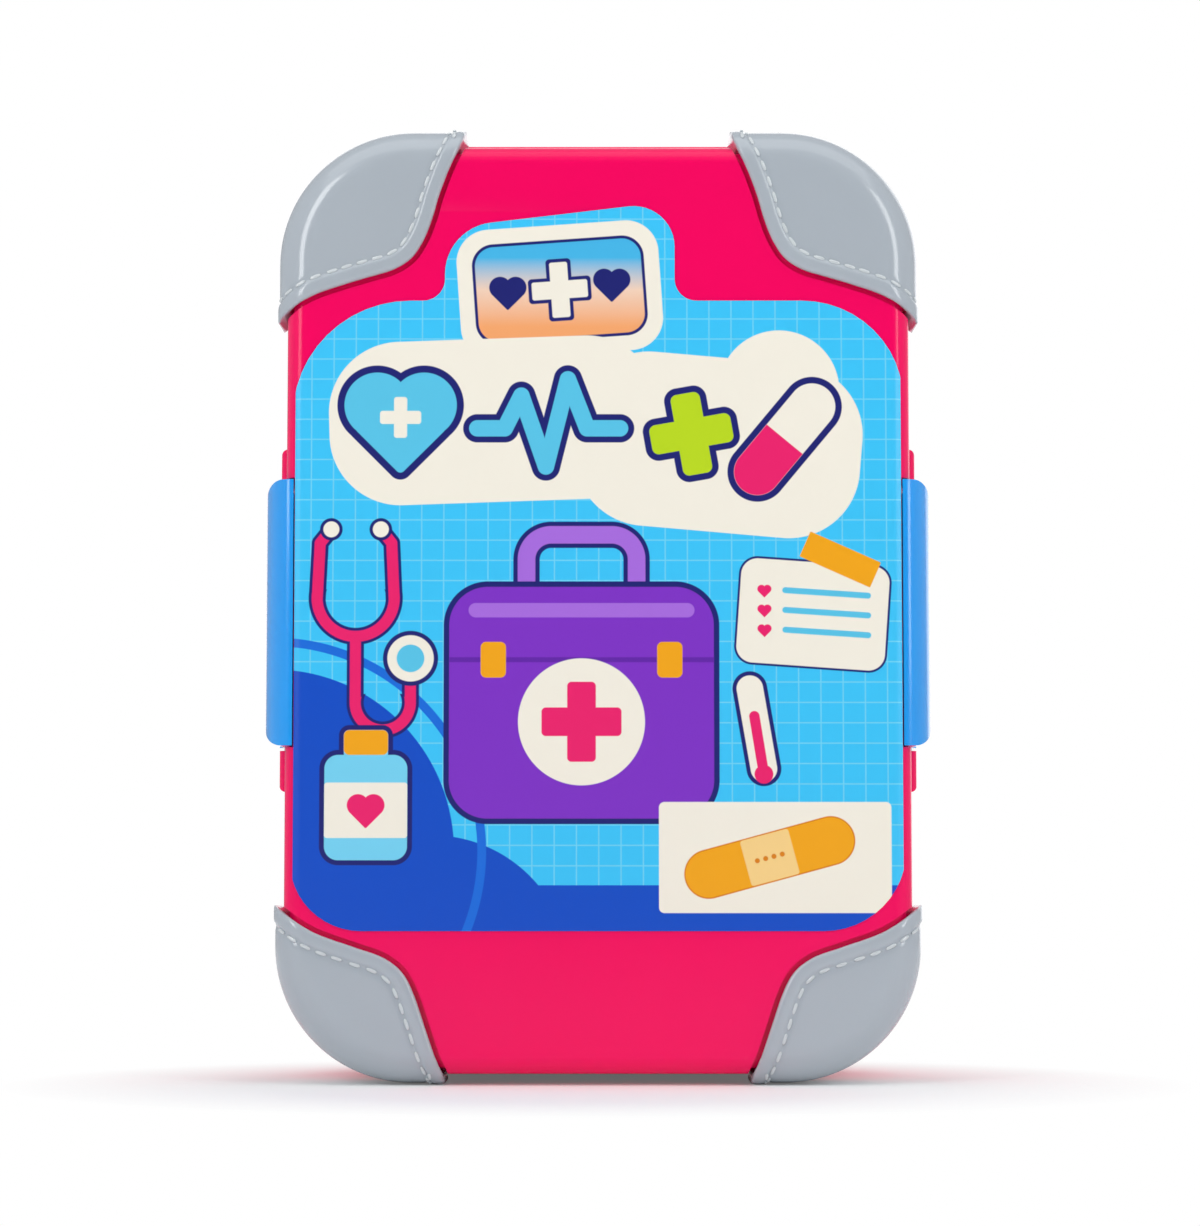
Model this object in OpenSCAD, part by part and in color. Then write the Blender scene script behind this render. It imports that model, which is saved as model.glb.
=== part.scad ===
// Toy doctor's trolley case: two moulded shells hinged along one long side, grey corner guards
// on the lid, a clasp, a pull-out handle, two wheels and a play worktop inside.
// X is across the case, Y runs from the front (label) to the back, Z is up. It stands on Z = 0.

/* [Shells] */
// Width of both shells
body_w = 228; // [216:1:250]
// Height of both shells
body_h = 339; // [325:1:370]
// Depth of the lid, front face to parting plane
lid_d = 40; // [38:1:50]
// Depth of the base, parting plane to back face
base_d = 85; // [80:1:100]
// Corner radius seen from the front
corner_r = 46; // [40:1:54]
// Rounding of the lid's front edge
lid_edge_r = 7; // [5:0.5:9]
// Rounding of the base's back edge
base_edge_r = 12; // [9:0.5:15]
// Wall thickness of both shells
wall = 2.6; // [2.2:0.1:3.2]
// How far the lid's rim stands out at the sides
rim_side = 2; // [1:0.5:3]
// How far the lid's rim stands out at the top
rim_top = 6.5; // [3:0.5:7]
// Depth of the lid's rim
rim_d = 7; // [5:0.5:9]
// Depth of the worktop's flange between the two shells
flange_t = 5; // [4:0.5:6]
// How far the worktop's flange stands out
flange_out = 1.5; // [0.5:0.5:2]

/* [Corner guards] */
// How far a guard stands out at the sides and the bottom
guard_out = 4; // [3:0.5:6]
// How far a guard stands out at the top
guard_top = 7; // [6:0.5:9]
// How far a guard stands out in front
guard_front = 2; // [1:0.5:3]
// Length of an upper guard along each edge
upper_leg = 70; // [62:1:76]
// Distance of an upper guard's inner bend from both edges
upper_elbow = 51; // [46:1:56]
// Length of a lower guard along each edge
lower_leg = 63.5; // [62:0.5:72]
// Distance of a lower guard's inner bend from both edges
lower_elbow = 45; // [42:1:50]
// Rounding of a guard's inner bend
elbow_r = 12; // [8:1:14]
// Rounding of a guard's outer edge
guard_edge_r = 9; // [7:0.5:11]

/* [Clasp and hinge] */
// Length of the clasp and of the hinge leaf
clasp_len = 97; // [85:1:110]
// Height of the clasp's middle above the floor
clasp_z = 171; // [160:1:182]
// How far the clasp stands out from the shell
clasp_out = 8; // [7:0.5:9]
// Wall of the clasp and the leaf
clasp_t = 2.2; // [1.8:0.1:2.8]
// Depth of the side channels that the clasp and the leaf lie in
channel_in = 3.4; // [3:0.1:4]
// Length of one pin knuckle
knuckle_len = 15.5; // [12:0.5:20]
// Radius of a pin knuckle
knuckle_r = 3.2; // [3:0.1:3.6]
// Radius of the hinge pins
pin_r = 1.5; // [1.3:0.1:1.7]
// Distance of the hinge pins behind the parting plane
pin_back = 5; // [4.5:0.25:6]

/* [Label] */
// Thickness of the printed label
label_t = 0.35; // [0.2:0.05:0.6]
// Distance of the label from the shell's sides
label_side = 2.5; // [1:0.5:12]
// Height of the label's lower edge
label_z0 = 55.5; // [52:0.5:62]
// Distance of the label's upper edge below the shell's top
label_drop = 58; // [50:1:66]
// How far the label's tab stands up
label_tab = 33; // [24:1:36]

/* [Trolley handle] */
// Distance between the two bars' centres
bar_pitch = 100; // [92:1:104]
// Width of a bar
bar_w = 11; // [10:0.5:12]
// Thickness of a bar
bar_t = 8; // [7:0.5:9]
// Distance of the bars behind the parting plane
bar_back = 68; // [62:1:70]
// Width of the grip
grip_w = 128; // [124:1:132]
// Thickness of the grip
grip_t = 18; // [16:0.5:19]
// Height of the grip with its two sockets
grip_h = 31; // [28:1:34]
// How far the handle pulls out
handle_pull = 150; // [100:1:155]
// Length of a bar that stays in its guide when the handle is out
bar_kept = 62; // [50:1:66]
// How far the release button travels
button_travel = 3; // [2:0.5:3.5]

/* [Wheels and feet] */
// Radius of the wheels
wheel_r = 16; // [14:0.5:17]
// Width of a wheel
wheel_w = 18; // [14:1:18]
// Distance of each wheel from the middle
wheel_x = 72; // [72:0.5:76]
// Radius of the wheel axles
axle_r = 2; // [1.5:0.1:2.5]
// How far wheels and feet stand out at the back
back_out = 5; // [4:0.5:6]
// Distance of the two back feet below the shell's top
back_foot_drop = 58; // [54:1:70]

/* [Inside] */
// Rise of the worktop's stepped platform
step_h = 3; // [2:0.5:3.5]
// Width of the sink
sink_w = 62; // [50:1:66]
// Height of the sink
sink_h = 66; // [55:1:70]
// Depth of the sink
sink_d = 22; // [16:1:26]
// Depth of the console
console_d = 14; // [12:0.5:16]
// Reach of the tap's spout
tap_reach = 20; // [16:1:22]
// Height of the tap
tap_h = 29; // [24:1:30]

/* [Hidden] */
$fn = 48;

gap = 0.3;          // between curved faces of different bodies
run = 0.06;         // radial running clearance on a pin
seat = 0.02;        // radial clearance where a pin is held
skin = 0.05;        // overlap of cuts past a face
half_w = body_w / 2;
z0 = guard_out;
z1 = z0 + body_h;
case_h = z1 + guard_top;
case_d = guard_front + lid_d + base_d + back_out;
y_front = -case_d / 2 + guard_front;
y_part = y_front + lid_d;
y_seat = y_part + flange_t;
y_back = y_part + base_d;
tab_out = clasp_out - 2.5;
label_z1 = z1 - label_drop;
label_tab_z = label_z1 + label_tab;
back_foot_z = z1 - back_foot_drop;
pin_x = half_w + tab_out - knuckle_r;
pin_y = y_part + pin_back;
clasp_z0 = clasp_z - clasp_len / 2;
clasp_z1 = clasp_z + clasp_len / 2;
land_z0 = clasp_z0 - knuckle_len - 3;
land_z1 = clasp_z1 + knuckle_len + 3;
channel_x = half_w - channel_in;

pink = [0.95, 0.04, 0.38];
grey = [0.66, 0.70, 0.73];
blue = [0.13, 0.62, 0.96];
cream = [0.92, 0.89, 0.84];
steel = [0.75, 0.76, 0.78];

// ---------- helpers ----------

// A flat shape drawn in X and Z, given thickness from y = a to y = b.
module plate(a, b) translate([0, b, 0]) rotate([90, 0, 0]) linear_extrude(b - a) children();

// A rectangle with round corners, in X and Z.
module round_rect(x0, x1, low, high, r) polygon(concat(
    arc(x1 - r, high - r, r, 0, 90), arc(x0 + r, high - r, r, 90, 180),
    arc(x0 + r, low + r, r, 180, 270), arc(x1 - r, low + r, r, 270, 360)));

// A round-cornered block whose edge at y = ya is rounded with radius e.
module pillow(x0, x1, low, high, r, ya, yb, e) {
    s = ya < yb ? 1 : -1;
    hull() for (x = [x0 + r, x1 - r], z = [low + r, high - r]) translate([x, ya, z]) rotate([-90 * s, 0, 0]) {
        translate([0, 0, abs(yb - ya) - 1]) cylinder(r = r, h = 1);
        translate([0, 0, e]) rotate_extrude() translate([r - e, 0]) circle(e, $fn = 32);
    }
}

// The lid's outside, grown by g.
module lid_form(g = 0, yb = y_part - gap)
    pillow(-half_w - g, half_w + g, z0 - g, z1 + g, corner_r + g, y_front - g, yb, lid_edge_r + g);

// A round bar along Y from y = a to y = b at (x, z).
module bar_y(x, z, r, a, b) translate([x, a, z]) rotate([-90, 0, 0]) cylinder(r = r, h = b - a);

// A round bar along X from x = a to x = b at (y, z).
module bar_x(y, z, r, a, b) translate([a, y, z]) rotate([0, 90, 0]) cylinder(r = r, h = b - a);

// A box given by its two corners.
module box(a, b) translate(a) cube(b - a);

module both_sides() {
    children();
    mirror([1, 0, 0]) children();
}

// A pan-head screw along Y with its head at y = a and its point at y = b.
module screw_y(x, z, a, b) {
    s = sign(b - a);
    translate([x, a, z]) rotate([-90 * s, 0, 0]) difference() {
        union() {
            cylinder(r = 2.6, h = 1.6);
            cylinder(r = 1.2, h = abs(b - a));
        }
        translate([-2, -0.35, -skin]) cube([4, 0.7, 0.8]);
        translate([-0.35, -2, -skin]) cube([0.7, 4, 0.8]);
    }
}

function arc(cx, cz, r, a0, a1, n = 8) =
    [for (i = [0:n]) [cx + r * cos(a0 + (a1 - a0) * i / n), cz + r * sin(a0 + (a1 - a0) * i / n)]];

// ---------- lid ----------

lid_post_r = 3.4;
screw_hole = 1.25;
console_x0 = -half_w + wall + 7;
console_x1 = console_x0 + 54;
console_z0 = z0 + 94;
console_z1 = z1 - 91;
cabinet_h = 35;
rail_x0 = console_x1 + 8;
rail_x1 = rail_x0 + 28;
rail_z0 = z0 + 58;
rail_z1 = z1 - 57;
y_inner = y_front + wall;
y_post = y_inner + 4;
rail_t = 4;
console_screws = [for (x = [console_x0 + 6, console_x1 - 6], z = [console_z0 + 8, console_z1 - 8]) [x, z]];
rail_screws = [for (z = [rail_z0 + 14, rail_z1 - 14]) [(rail_x0 + rail_x1) / 2, z]];
leaf_screw_z = [clasp_z - 30, clasp_z + 30];
leaf_screw_y = y_front + 20;

// The channel cut along one side of a shell, where the clasp or the leaf lies.
module side_channel(a, b)
    box([channel_x, a, clasp_z0 - 0.6], [half_w + 20, b, clasp_z1 + 0.6]);

// The inner wall behind a side channel.
module channel_pad(a, b, low, high)
    box([channel_x - wall, a, low], [half_w - wall + skin, b, high]);

module lid_shell() color(pink) difference() {
    union() {
        lid_form();
        plate(y_part - rim_d, y_part - gap)
            round_rect(-half_w - rim_side, half_w + rim_side, z0, z1 + rim_top, corner_r + rim_side);
    }
    difference() {
        pillow(-half_w + wall, half_w - wall, z0 + wall, z1 - wall, corner_r - wall,
            y_inner, y_part + 1, lid_edge_r - wall);
        both_sides() channel_pad(y_front, y_part + 2, clasp_z0 - wall, clasp_z1 + wall);
        for (p = concat(console_screws, rail_screws)) bar_y(p[0], p[1], lid_post_r, y_front, y_post);
    }
    difference() {
        both_sides() side_channel(y_front - 1, y_part + 1);
        translate([-channel_x - 0.2, y_front + 14.5, clasp_z - blade_half - 2])
            cylinder(r = 1, h = 2 * blade_half + 4);
    }
    for (p = concat(console_screws, rail_screws)) bar_y(p[0], p[1], screw_hole, y_post - 3, y_post + 1);
    for (z = leaf_screw_z) bar_x(leaf_screw_y, z, screw_hole + 0.2, channel_x - wall - 1, channel_x + 1);
}

// A guard's outline in its own corner, u and v measured inwards from the two outer edges.
function guard_outline(leg, elbow) = concat(
    [[-9, -9], [leg, -9], [leg, 5]],
    arc(elbow + elbow_r * 0.4 - elbow_r, elbow + elbow_r * 0.4 - elbow_r, elbow_r, 14, 76, 6),
    [[5, leg], [-9, leg]]);

module guard(top) color(grey) difference() {
    leg = top ? upper_leg : lower_leg;
    elbow = top ? upper_elbow : lower_elbow;
    intersection() {
        pillow(-half_w - guard_out, half_w + guard_out, 0, case_h, corner_r + guard_out,
            y_front - guard_front, y_part - rim_d - gap, guard_edge_r);
        plate(y_front - 10, y_part)
            translate([-half_w - guard_out, top ? case_h : 0]) scale([1, top ? -1 : 1])
                polygon(guard_outline(leg, elbow));
    }
    lid_form(seat, y_part);
}
module guard_top_left() guard(true);
module guard_top_right() mirror([1, 0, 0]) guard(true);
module guard_bottom_left() guard(false);
module guard_bottom_right() mirror([1, 0, 0]) guard(false);

// Outline of the label: round lower corners, wide upper shoulders and a tab that stands up
// left of the middle between the upper guards.
tab_x0 = -56;
tab_x1 = 28;
label_outline = let (x = half_w - label_side) concat(
    arc(-x + 26, label_z0 + 26, 26, 180, 270, 8),
    arc(x - 30, label_z0 + 30, 30, 270, 360, 8),
    arc(x - 37, label_z1 - 37, 37, 0, 90, 10),
    arc(tab_x1 + 8, label_z1 + 8, 8, 270, 180, 6),
    arc(tab_x1 - 15, label_tab_z - 13, 15, 0, 97, 8),
    arc(tab_x0 + 19, label_tab_z - 23, 19, 97, 180, 8),
    arc(tab_x0 - 8, label_z1 + 8, 8, 0, -90, 6),
    arc(-x + 43, label_z1 - 43, 43, 90, 180, 10));

module front_label() color([0.24, 0.74, 0.98]) difference() {
    intersection() {
        lid_form(label_t);
        plate(y_front - 1, y_front + lid_edge_r) polygon(label_outline);
        box([-channel_x + 0.2, y_front - 1, 0], [channel_x - 0.2, y_part, case_h]);
    }
    lid_form(0, y_part);
}

module console() color(cream) {
    front = y_inner + console_d;
    door_x0 = console_x0 + 4;
    door_x1 = console_x1 - 8;
    difference() {
        union() {
            plate(y_post, front) round_rect(console_x0, console_x1, console_z0, console_z1, 8);
            for (z = [console_z0 - cabinet_h, console_z1 - 1])
                box([door_x0, y_post, z], [door_x1, front - 3, z + cabinet_h + 1]);
            for (z = [console_z0 - cabinet_h + 4, console_z1 + 4])
                box([door_x0 + 3, front - 3.5, z], [door_x1 - 3, front - 2, z + cabinet_h - 8]);
        }
        plate(y_post - 1, front - 2.2)
            round_rect(console_x0 + 2.2, console_x1 - 2.2, console_z0 + 16, console_z1 - 16, 5);
        for (z = [console_z0 - cabinet_h + 2.2, console_z1 + 2.2])
            box([door_x0 + 2.2, y_post - 1, z], [door_x1 - 2.2, front - 5.2, z + cabinet_h - 4.4]);
        for (z = [console_z0 - 12, console_z1 + 8])
            box([door_x0 + 16, front - 3.2, z], [door_x0 + 26, front, z + 4]);
        screen_recess(front);
        for (z = dial_z) bar_y(dial_x, z, 8.2, front - 1, front + 1);
        for (p = console_screws) {
            bar_y(p[0], p[1], screw_hole + 0.2, y_post - 1, front + 1);
            bar_y(p[0], p[1], 2.9, front - 2.2, front + 1);
        }
    }
}
dial_x = console_x0 + 36;
dial_z = [console_z1 - 28, console_z1 - 50];
screen = [console_x0 + 13, console_x1 - 11, console_z0 + 14, dial_z[1] - 26];
screen_t = 1.2;
screen_gap = 0.2;
module screen_recess(front) plate(front - screen_t, front + 1)
    round_rect(screen[0], screen[1], screen[2], screen[3], 5);
module console_screen() color([0.05, 0.25, 0.75]) plate(y_inner + console_d - screen_t, y_inner + console_d - 0.4)
    round_rect(screen[0] + screen_gap, screen[1] - screen_gap, screen[2] + screen_gap, screen[3] - screen_gap,
        5 - screen_gap);
module console_dials() color([0.98, 0.62, 0.12])
    for (z = dial_z) bar_y(dial_x, z, 8, y_inner + console_d - 1, y_inner + console_d + 1.2);

tool_x = (rail_x0 + rail_x1) / 2;
tool_z = [rail_z1 - 36, (rail_z0 + rail_z1) / 2 - 2, rail_z0 + 42];
y_rail = y_post + rail_t;
peg_r = 2.4;
module tool_rail() color(cream) difference() {
    union() {
        plate(y_post, y_rail) round_rect(rail_x0, rail_x1, rail_z0, rail_z1, 13.5);
        for (z = tool_z) bar_y(tool_x, z, peg_r, y_rail - skin, y_rail + 9);
    }
    for (p = rail_screws) {
        bar_y(p[0], p[1], screw_hole + 0.2, y_post - 1, y_rail + 1);
        bar_y(p[0], p[1], 2.9, y_rail - 2.2, y_rail + 1);
    }
}

module lid_screws() color(steel) {
    for (p = console_screws) screw_y(p[0], p[1], y_inner + console_d - 0.6, y_post - 2.5);
    for (p = rail_screws) screw_y(p[0], p[1], y_rail - 0.6, y_post - 2.5);
}

// A toy tool's handle: a tapering flat body that hangs on a rail peg and points to the hinge side.
module tool_handle(z, reach, head_r, tail_r) difference() {
    plate(y_rail + 0.1, y_rail + 8) hull() {
        translate([tool_x, z]) circle(head_r);
        translate([tool_x + reach, z]) circle(tail_r);
    }
    bar_y(tool_x, z, peg_r + seat, y_rail - 1, y_rail + 12);
}
module toy_mirror() color(blue) {
    tool_handle(tool_z[0], 52, 11, 6);
    plate(y_rail + 2, y_rail + 6) translate([tool_x + 50, tool_z[0] - 2.5]) square([22, 5]);
    bar_y(tool_x + 80, tool_z[0], 12, y_rail + 1.5, y_rail + 6.5);
}
module toy_thermometer() color([0.98, 0.25, 0.60]) {
    tool_handle(tool_z[1], 62, 9, 5.5);
    plate(y_rail + 2, y_rail + 6) round_rect(tool_x + 58, tool_x + 88, tool_z[1] - 2.6, tool_z[1] + 2.6, 2.5);
}
module toy_otoscope() color([0.72, 0.86, 0.12]) {
    tool_handle(tool_z[2], 50, 10, 6);
    plate(y_rail + 1, y_rail + 7) round_rect(tool_x + 48, tool_x + 66, tool_z[2] - 8, tool_z[2] + 8, 4);
    translate([tool_x + 57, y_rail + 4, tool_z[2] + 7]) cylinder(r1 = 3.2, r2 = 1.6, h = 14);
}

blade_half = 9;
// Cross-section of the clasp and the leaf in X and Y, on the right-hand side: a bowed cover
// from the barrel forwards to a lip beside the label.
function clasp_curve(t) = let (
    cx = channel_x + 0.3, cy = y_front + 18,
    rx = half_w + clasp_out - cx - t, ry = 17.8 - t)
    [for (i = [0:12]) [cx + rx * cos(90 * i / 12), cy - ry * sin(90 * i / 12)]];

module clasp_solid(blade) {
    outer_x = half_w + clasp_out;
    difference() {
        union() {
            intersection() {
                translate([0, 0, clasp_z0]) linear_extrude(clasp_len) polygon(concat(
                    [[pin_x, pin_y + knuckle_r - 0.6], [pin_x + knuckle_r, pin_y], [outer_x, pin_y - 7]],
                    clasp_curve(0)));
                plate(y_front - 1, y_back)
                    round_rect(channel_x - 20, outer_x, clasp_z0, clasp_z1, 7);
            }
            translate([pin_x, pin_y, clasp_z0 + 0.5]) cylinder(r = knuckle_r, h = clasp_len - 1);
        }
        translate([0, 0, clasp_z0 + clasp_t]) linear_extrude(clasp_len - 2 * clasp_t) polygon(concat(
            [[channel_x - 5, pin_y - knuckle_r - 1.2], [outer_x - clasp_t, pin_y - knuckle_r - 1.2]],
            clasp_curve(clasp_t), [[channel_x - 5, y_front + 2.4]]));
        box([channel_x - 20, y_front - 2, 0], [channel_x + 0.3, y_back, case_h]);
        translate([pin_x, pin_y, clasp_z0 - 1]) cylinder(r = pin_r + run, h = clasp_len + 2);
    }
    if (blade) box([channel_x + 1.1, y_front + 10, clasp_z - blade_half],
        [outer_x - clasp_t + 0.1, y_front + 12, clasp_z + blade_half]);
}

// The leaf's two posts take screws that come through the lid's channel wall.
module hinge_leaf() color(blue) difference() {
    union() {
        clasp_solid(false);
        for (z = leaf_screw_z) bar_x(leaf_screw_y, z, 4, channel_x + 0.01, half_w + clasp_out - clasp_t + 0.1);
    }
    for (z = leaf_screw_z) bar_x(leaf_screw_y, z, screw_hole, channel_x - 1, half_w + clasp_out - clasp_t - 1);
}
module leaf_screws() color(steel) for (z = leaf_screw_z)
    translate([channel_x - wall - 1.6, leaf_screw_y, z]) rotate([0, 90, 0]) difference() {
        union() {
            cylinder(r = 2.6, h = 1.6);
            cylinder(r = 1.2, h = 8);
        }
        translate([-2, -0.35, -skin]) cube([4, 0.7, 0.8]);
        translate([-0.35, -2, -skin]) cube([0.7, 4, 0.8]);
    }

module latch() color(blue) mirror([1, 0, 0]) clasp_solid(true);

// ---------- base ----------

wheel_y = y_back + back_out - wheel_r;
wheel_z = wheel_r;
well_clear = 2.5;
well_wall = 2.2;
well_half = wheel_w / 2 + 1;
bar_y0 = y_part + bar_back;
grip_top = z1 - 0.6;
grip_z0 = grip_top - grip_h;
pocket_z = grip_z0 - gap;
pocket_x = grip_w / 2 + 2.2;
pocket_y0 = bar_y0 - grip_t / 2 - 5.5;
pocket_y1 = bar_y0 + grip_t / 2 + 2.5;
guide_wall = 1.5;
guide_clear = 0.25;
guide_z0 = wheel_z + wheel_r + well_clear + well_wall + 4;
guide_z = [guide_z0 + 34, pocket_z - 71];
guide_screw_x = 11;
guide_tab = 14.5;
deck_t = 2.5;
y_deck = y_seat - deck_t;
post_at = [[half_w - 28, z0 + 58], [half_w - 30, z1 - 17]];
boss_r = 4;

// One of the four pin knuckles on the right-hand side, rounded at its outer end.
module knuckle(low, up) {
    intersection() {
        translate([0, 0, low]) linear_extrude(knuckle_len) {
            translate([pin_x, pin_y]) circle(knuckle_r);
            polygon([[channel_x, pin_y - 3.2], [pin_x, pin_y - knuckle_r], [pin_x + knuckle_r, pin_y],
                [half_w - 0.5, pin_y + 10], [channel_x, pin_y + 10]]);
        }
        plate(y_part, pin_y + 11) round_rect(channel_x - 12, half_w + tab_out,
            up ? low - 8 : low, up ? low + knuckle_len : low + knuckle_len + 8, 2.5);
    }
}

module wheel_well_out() box([wheel_x - well_half - well_wall, wheel_y - wheel_r - well_clear - well_wall, 0],
    [wheel_x + well_half + well_wall, y_back, wheel_z + wheel_r + well_clear + well_wall]);

module base_shell() color(pink) difference() {
    union() {
        pillow(-half_w, half_w, z0, z1, corner_r, y_back, y_seat, base_edge_r);
        both_sides() {
            box([channel_x - wall, y_part, land_z0], [half_w, y_seat + 1, land_z1]);
            knuckle(clasp_z1 + 0.5, true);
            knuckle(clasp_z0 - 0.5 - knuckle_len, false);
            translate([wheel_x, y_back - skin, back_foot_z]) rotate([-90, 0, 0])
                cylinder(r1 = 14, r2 = 9, h = back_out + skin);
        }
    }
    difference() {
        pillow(-half_w + wall, half_w - wall, z0 + wall, z1 - wall, corner_r - wall,
            y_back - wall, y_seat - 1, base_edge_r - wall);
        both_sides() {
            box([channel_x - wall, y_part, land_z0], [half_w, y_seat + 16, land_z1]);
            wheel_well_out();
            for (p = post_at) bar_y(p[0], p[1], boss_r, y_seat, y_back);
            for (z = guide_z) box([bar_pitch / 2 - 10, bar_y0 + bar_t / 2 + guide_clear + guide_wall + 0.02, z],
                [bar_pitch / 2 + guide_tab + 0.5, y_back, z + 10]);
        }
        box([-pocket_x - 2, pocket_y0 - 2, pocket_z - 2], [pocket_x + 2, y_back, z1]);
    }
    both_sides() {
        side_channel(y_part - 1, pin_y + knuckle_r + 5);
        box([wheel_x - well_half, wheel_y - wheel_r - well_clear, -1],
            [wheel_x + well_half, y_back + 10, wheel_z + wheel_r + well_clear]);
        bar_x(wheel_y, wheel_z, axle_r + seat, wheel_x - well_half - 10, wheel_x + well_half + 10);
        for (p = post_at) bar_y(p[0], p[1], screw_hole, y_seat - 1, y_seat + 9);
        for (z = guide_z) bar_y(bar_pitch / 2 + guide_screw_x, z + 5, screw_hole, bar_y0, y_back - wall - 0.5);
        translate([pin_x, pin_y, land_z0 - 1]) cylinder(r = pin_r + seat, h = land_z1 - land_z0 + 2);
        box([bar_pitch / 2 - bar_w / 2 - guide_clear, bar_y0 - bar_t / 2 - guide_clear, pocket_z - 3],
            [bar_pitch / 2 + bar_w / 2 + guide_clear, bar_y0 + bar_t / 2 + guide_clear, pocket_z + 1]);
    }
    intersection() {
        box([-pocket_x, pocket_y0, pocket_z], [pocket_x, pocket_y1, z1 + 10]);
        plate(pocket_y0 - 1, pocket_y1 + 1) round_rect(-pocket_x, pocket_x, pocket_z, z1 + 40, 2);
    }
}

platform = [-half_w + 18, half_w - 52, z0 + 118, z1 - 21];
sink_x0 = -sink_w / 2 + 4;
sink_z0 = z0 + 26;
tap_x = sink_x0 + sink_w + 22;
tap_z = sink_z0 + 12;
module worktop() color(cream) difference() {
    union() {
        difference() {
            plate(y_part, y_seat) round_rect(-half_w - flange_out, half_w + flange_out, z0 - flange_out,
                z1 + flange_out, corner_r + flange_out);
            plate(y_part - 1, y_deck) round_rect(-half_w + 9, half_w - 9, z0 + 9, z1 - 9, corner_r - 9);
        }
        difference() {
            plate(y_seat - 1, y_seat + 6) round_rect(-half_w + wall + gap, half_w - wall - gap,
                z0 + wall + gap, z1 - wall - gap, corner_r - wall);
            plate(y_seat - 2, y_seat + 7) round_rect(-half_w + wall + 2, half_w - wall - 2,
                z0 + wall + 2, z1 - wall - 2, corner_r - wall - 2);
        }
        plate(y_deck, y_seat) round_rect(-half_w + 5, half_w - 5, z0 + 5, z1 - 5, corner_r - 5);
        for (i = [0:2]) plate(y_deck - step_h * (i + 1), y_deck + skin)
            round_rect(platform[0] + 5 * i, platform[1] - 5 * i, platform[2] + 5 * i, platform[3] - 5 * i, 14);
        for (z = [platform[2] + 2:16:platform[3] - 40])
            plate(y_deck - 7, y_deck + skin) translate([platform[1] + 10, z]) square([18, 7]);
        plate(y_deck - 2, y_seat + sink_d) round_rect(sink_x0 - 4, sink_x0 + sink_w + 4,
            sink_z0 - 4, sink_z0 + sink_h + 4, 12);
    }
    plate(y_deck - 3, y_seat + sink_d - 2) round_rect(sink_x0, sink_x0 + sink_w, sink_z0, sink_z0 + sink_h, 9);
    plate(y_deck - step_h * 2, y_seat + 30)
        round_rect(platform[0] + 13, platform[1] - 13, platform[2] + 13, platform[3] - 13, 8);
    both_sides() {
        box([channel_x - wall - gap, y_part - 1, land_z0 - gap], [half_w + 10, y_seat + 8, land_z1 + gap]);
        for (p = post_at) {
            bar_y(p[0], p[1], screw_hole + 0.2, y_part - 1, y_seat + 1);
            bar_y(p[0], p[1], boss_r + 0.4, y_seat, y_seat + 7);
        }
    }
    bar_y(tap_x, tap_z, 3 + run, y_deck - 1, y_seat + 1);
}
module worktop_mat() color([0.98, 0.97, 0.95]) plate(y_deck - 3 * step_h - 0.5, y_deck - 3 * step_h)
    round_rect(platform[0] + 15, platform[1] - 15, platform[2] + 15, platform[3] - 15, 8);
module worktop_screws() color(steel) both_sides() for (p = post_at) screw_y(p[0], p[1], y_deck - 1.6, y_seat + 8);

module long_pin() translate([pin_x, pin_y, clasp_z0 - knuckle_len])
    cylinder(r = pin_r, h = clasp_len + 2 * knuckle_len);
module hinge_pin() color(steel) long_pin();
module latch_pin() color(steel) mirror([1, 0, 0]) long_pin();

// Gooseneck tap that swivels in the worktop beside the sink.
module tap() color(cream) {
    neck_r = 3.2;
    bend = tap_reach / 2;
    top = y_deck - tap_h + bend + neck_r;
    bar_y(tap_x, tap_z, 6.5, y_deck - 4, y_deck - 0.1);
    bar_y(tap_x, tap_z, 3, y_deck - 1, y_seat + 3);
    bar_y(tap_x, tap_z, 3.6, y_seat + 0.1, y_seat + 3);
    bar_y(tap_x, tap_z, neck_r, top, y_deck - 3.9);
    translate([tap_x - bend, top, tap_z]) rotate([0, 0, 180]) rotate_extrude(angle = 180)
        translate([bend, 0]) circle(neck_r);
    bar_y(tap_x - tap_reach, tap_z, neck_r, top, top + 5);
    bar_y(tap_x - tap_reach, tap_z, neck_r + 1, top + 5, top + 9);
}

module guide(sx) color(grey) translate([sx * bar_pitch / 2, bar_y0, 0]) difference() {
    ow = bar_w / 2 + guide_clear + guide_wall;
    ot = bar_t / 2 + guide_clear + guide_wall;
    union() {
        box([-ow, -ot, guide_z0], [ow, ot, pocket_z - 2.05]);
        for (z = guide_z) box([sx > 0 ? 0 : -guide_tab, ot - 2, z + 1], [sx > 0 ? guide_tab : 0, ot, z + 9]);
    }
    box([-ow + guide_wall, -ot + guide_wall, guide_z0 - 1], [ow - guide_wall, ot - guide_wall, pocket_z]);
    for (z = guide_z) bar_y(sx * guide_screw_x, z + 5, screw_hole + 0.2, 0, ot + 1);
}
module guide_left() guide(-1);
module guide_right() guide(1);
module guide_screws() color(steel) both_sides() for (z = guide_z)
    screw_y(bar_pitch / 2 + guide_screw_x, z + 5, bar_y0 + bar_t / 2 + guide_clear + guide_wall - 3.6, y_back - wall - 1.5);

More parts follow.
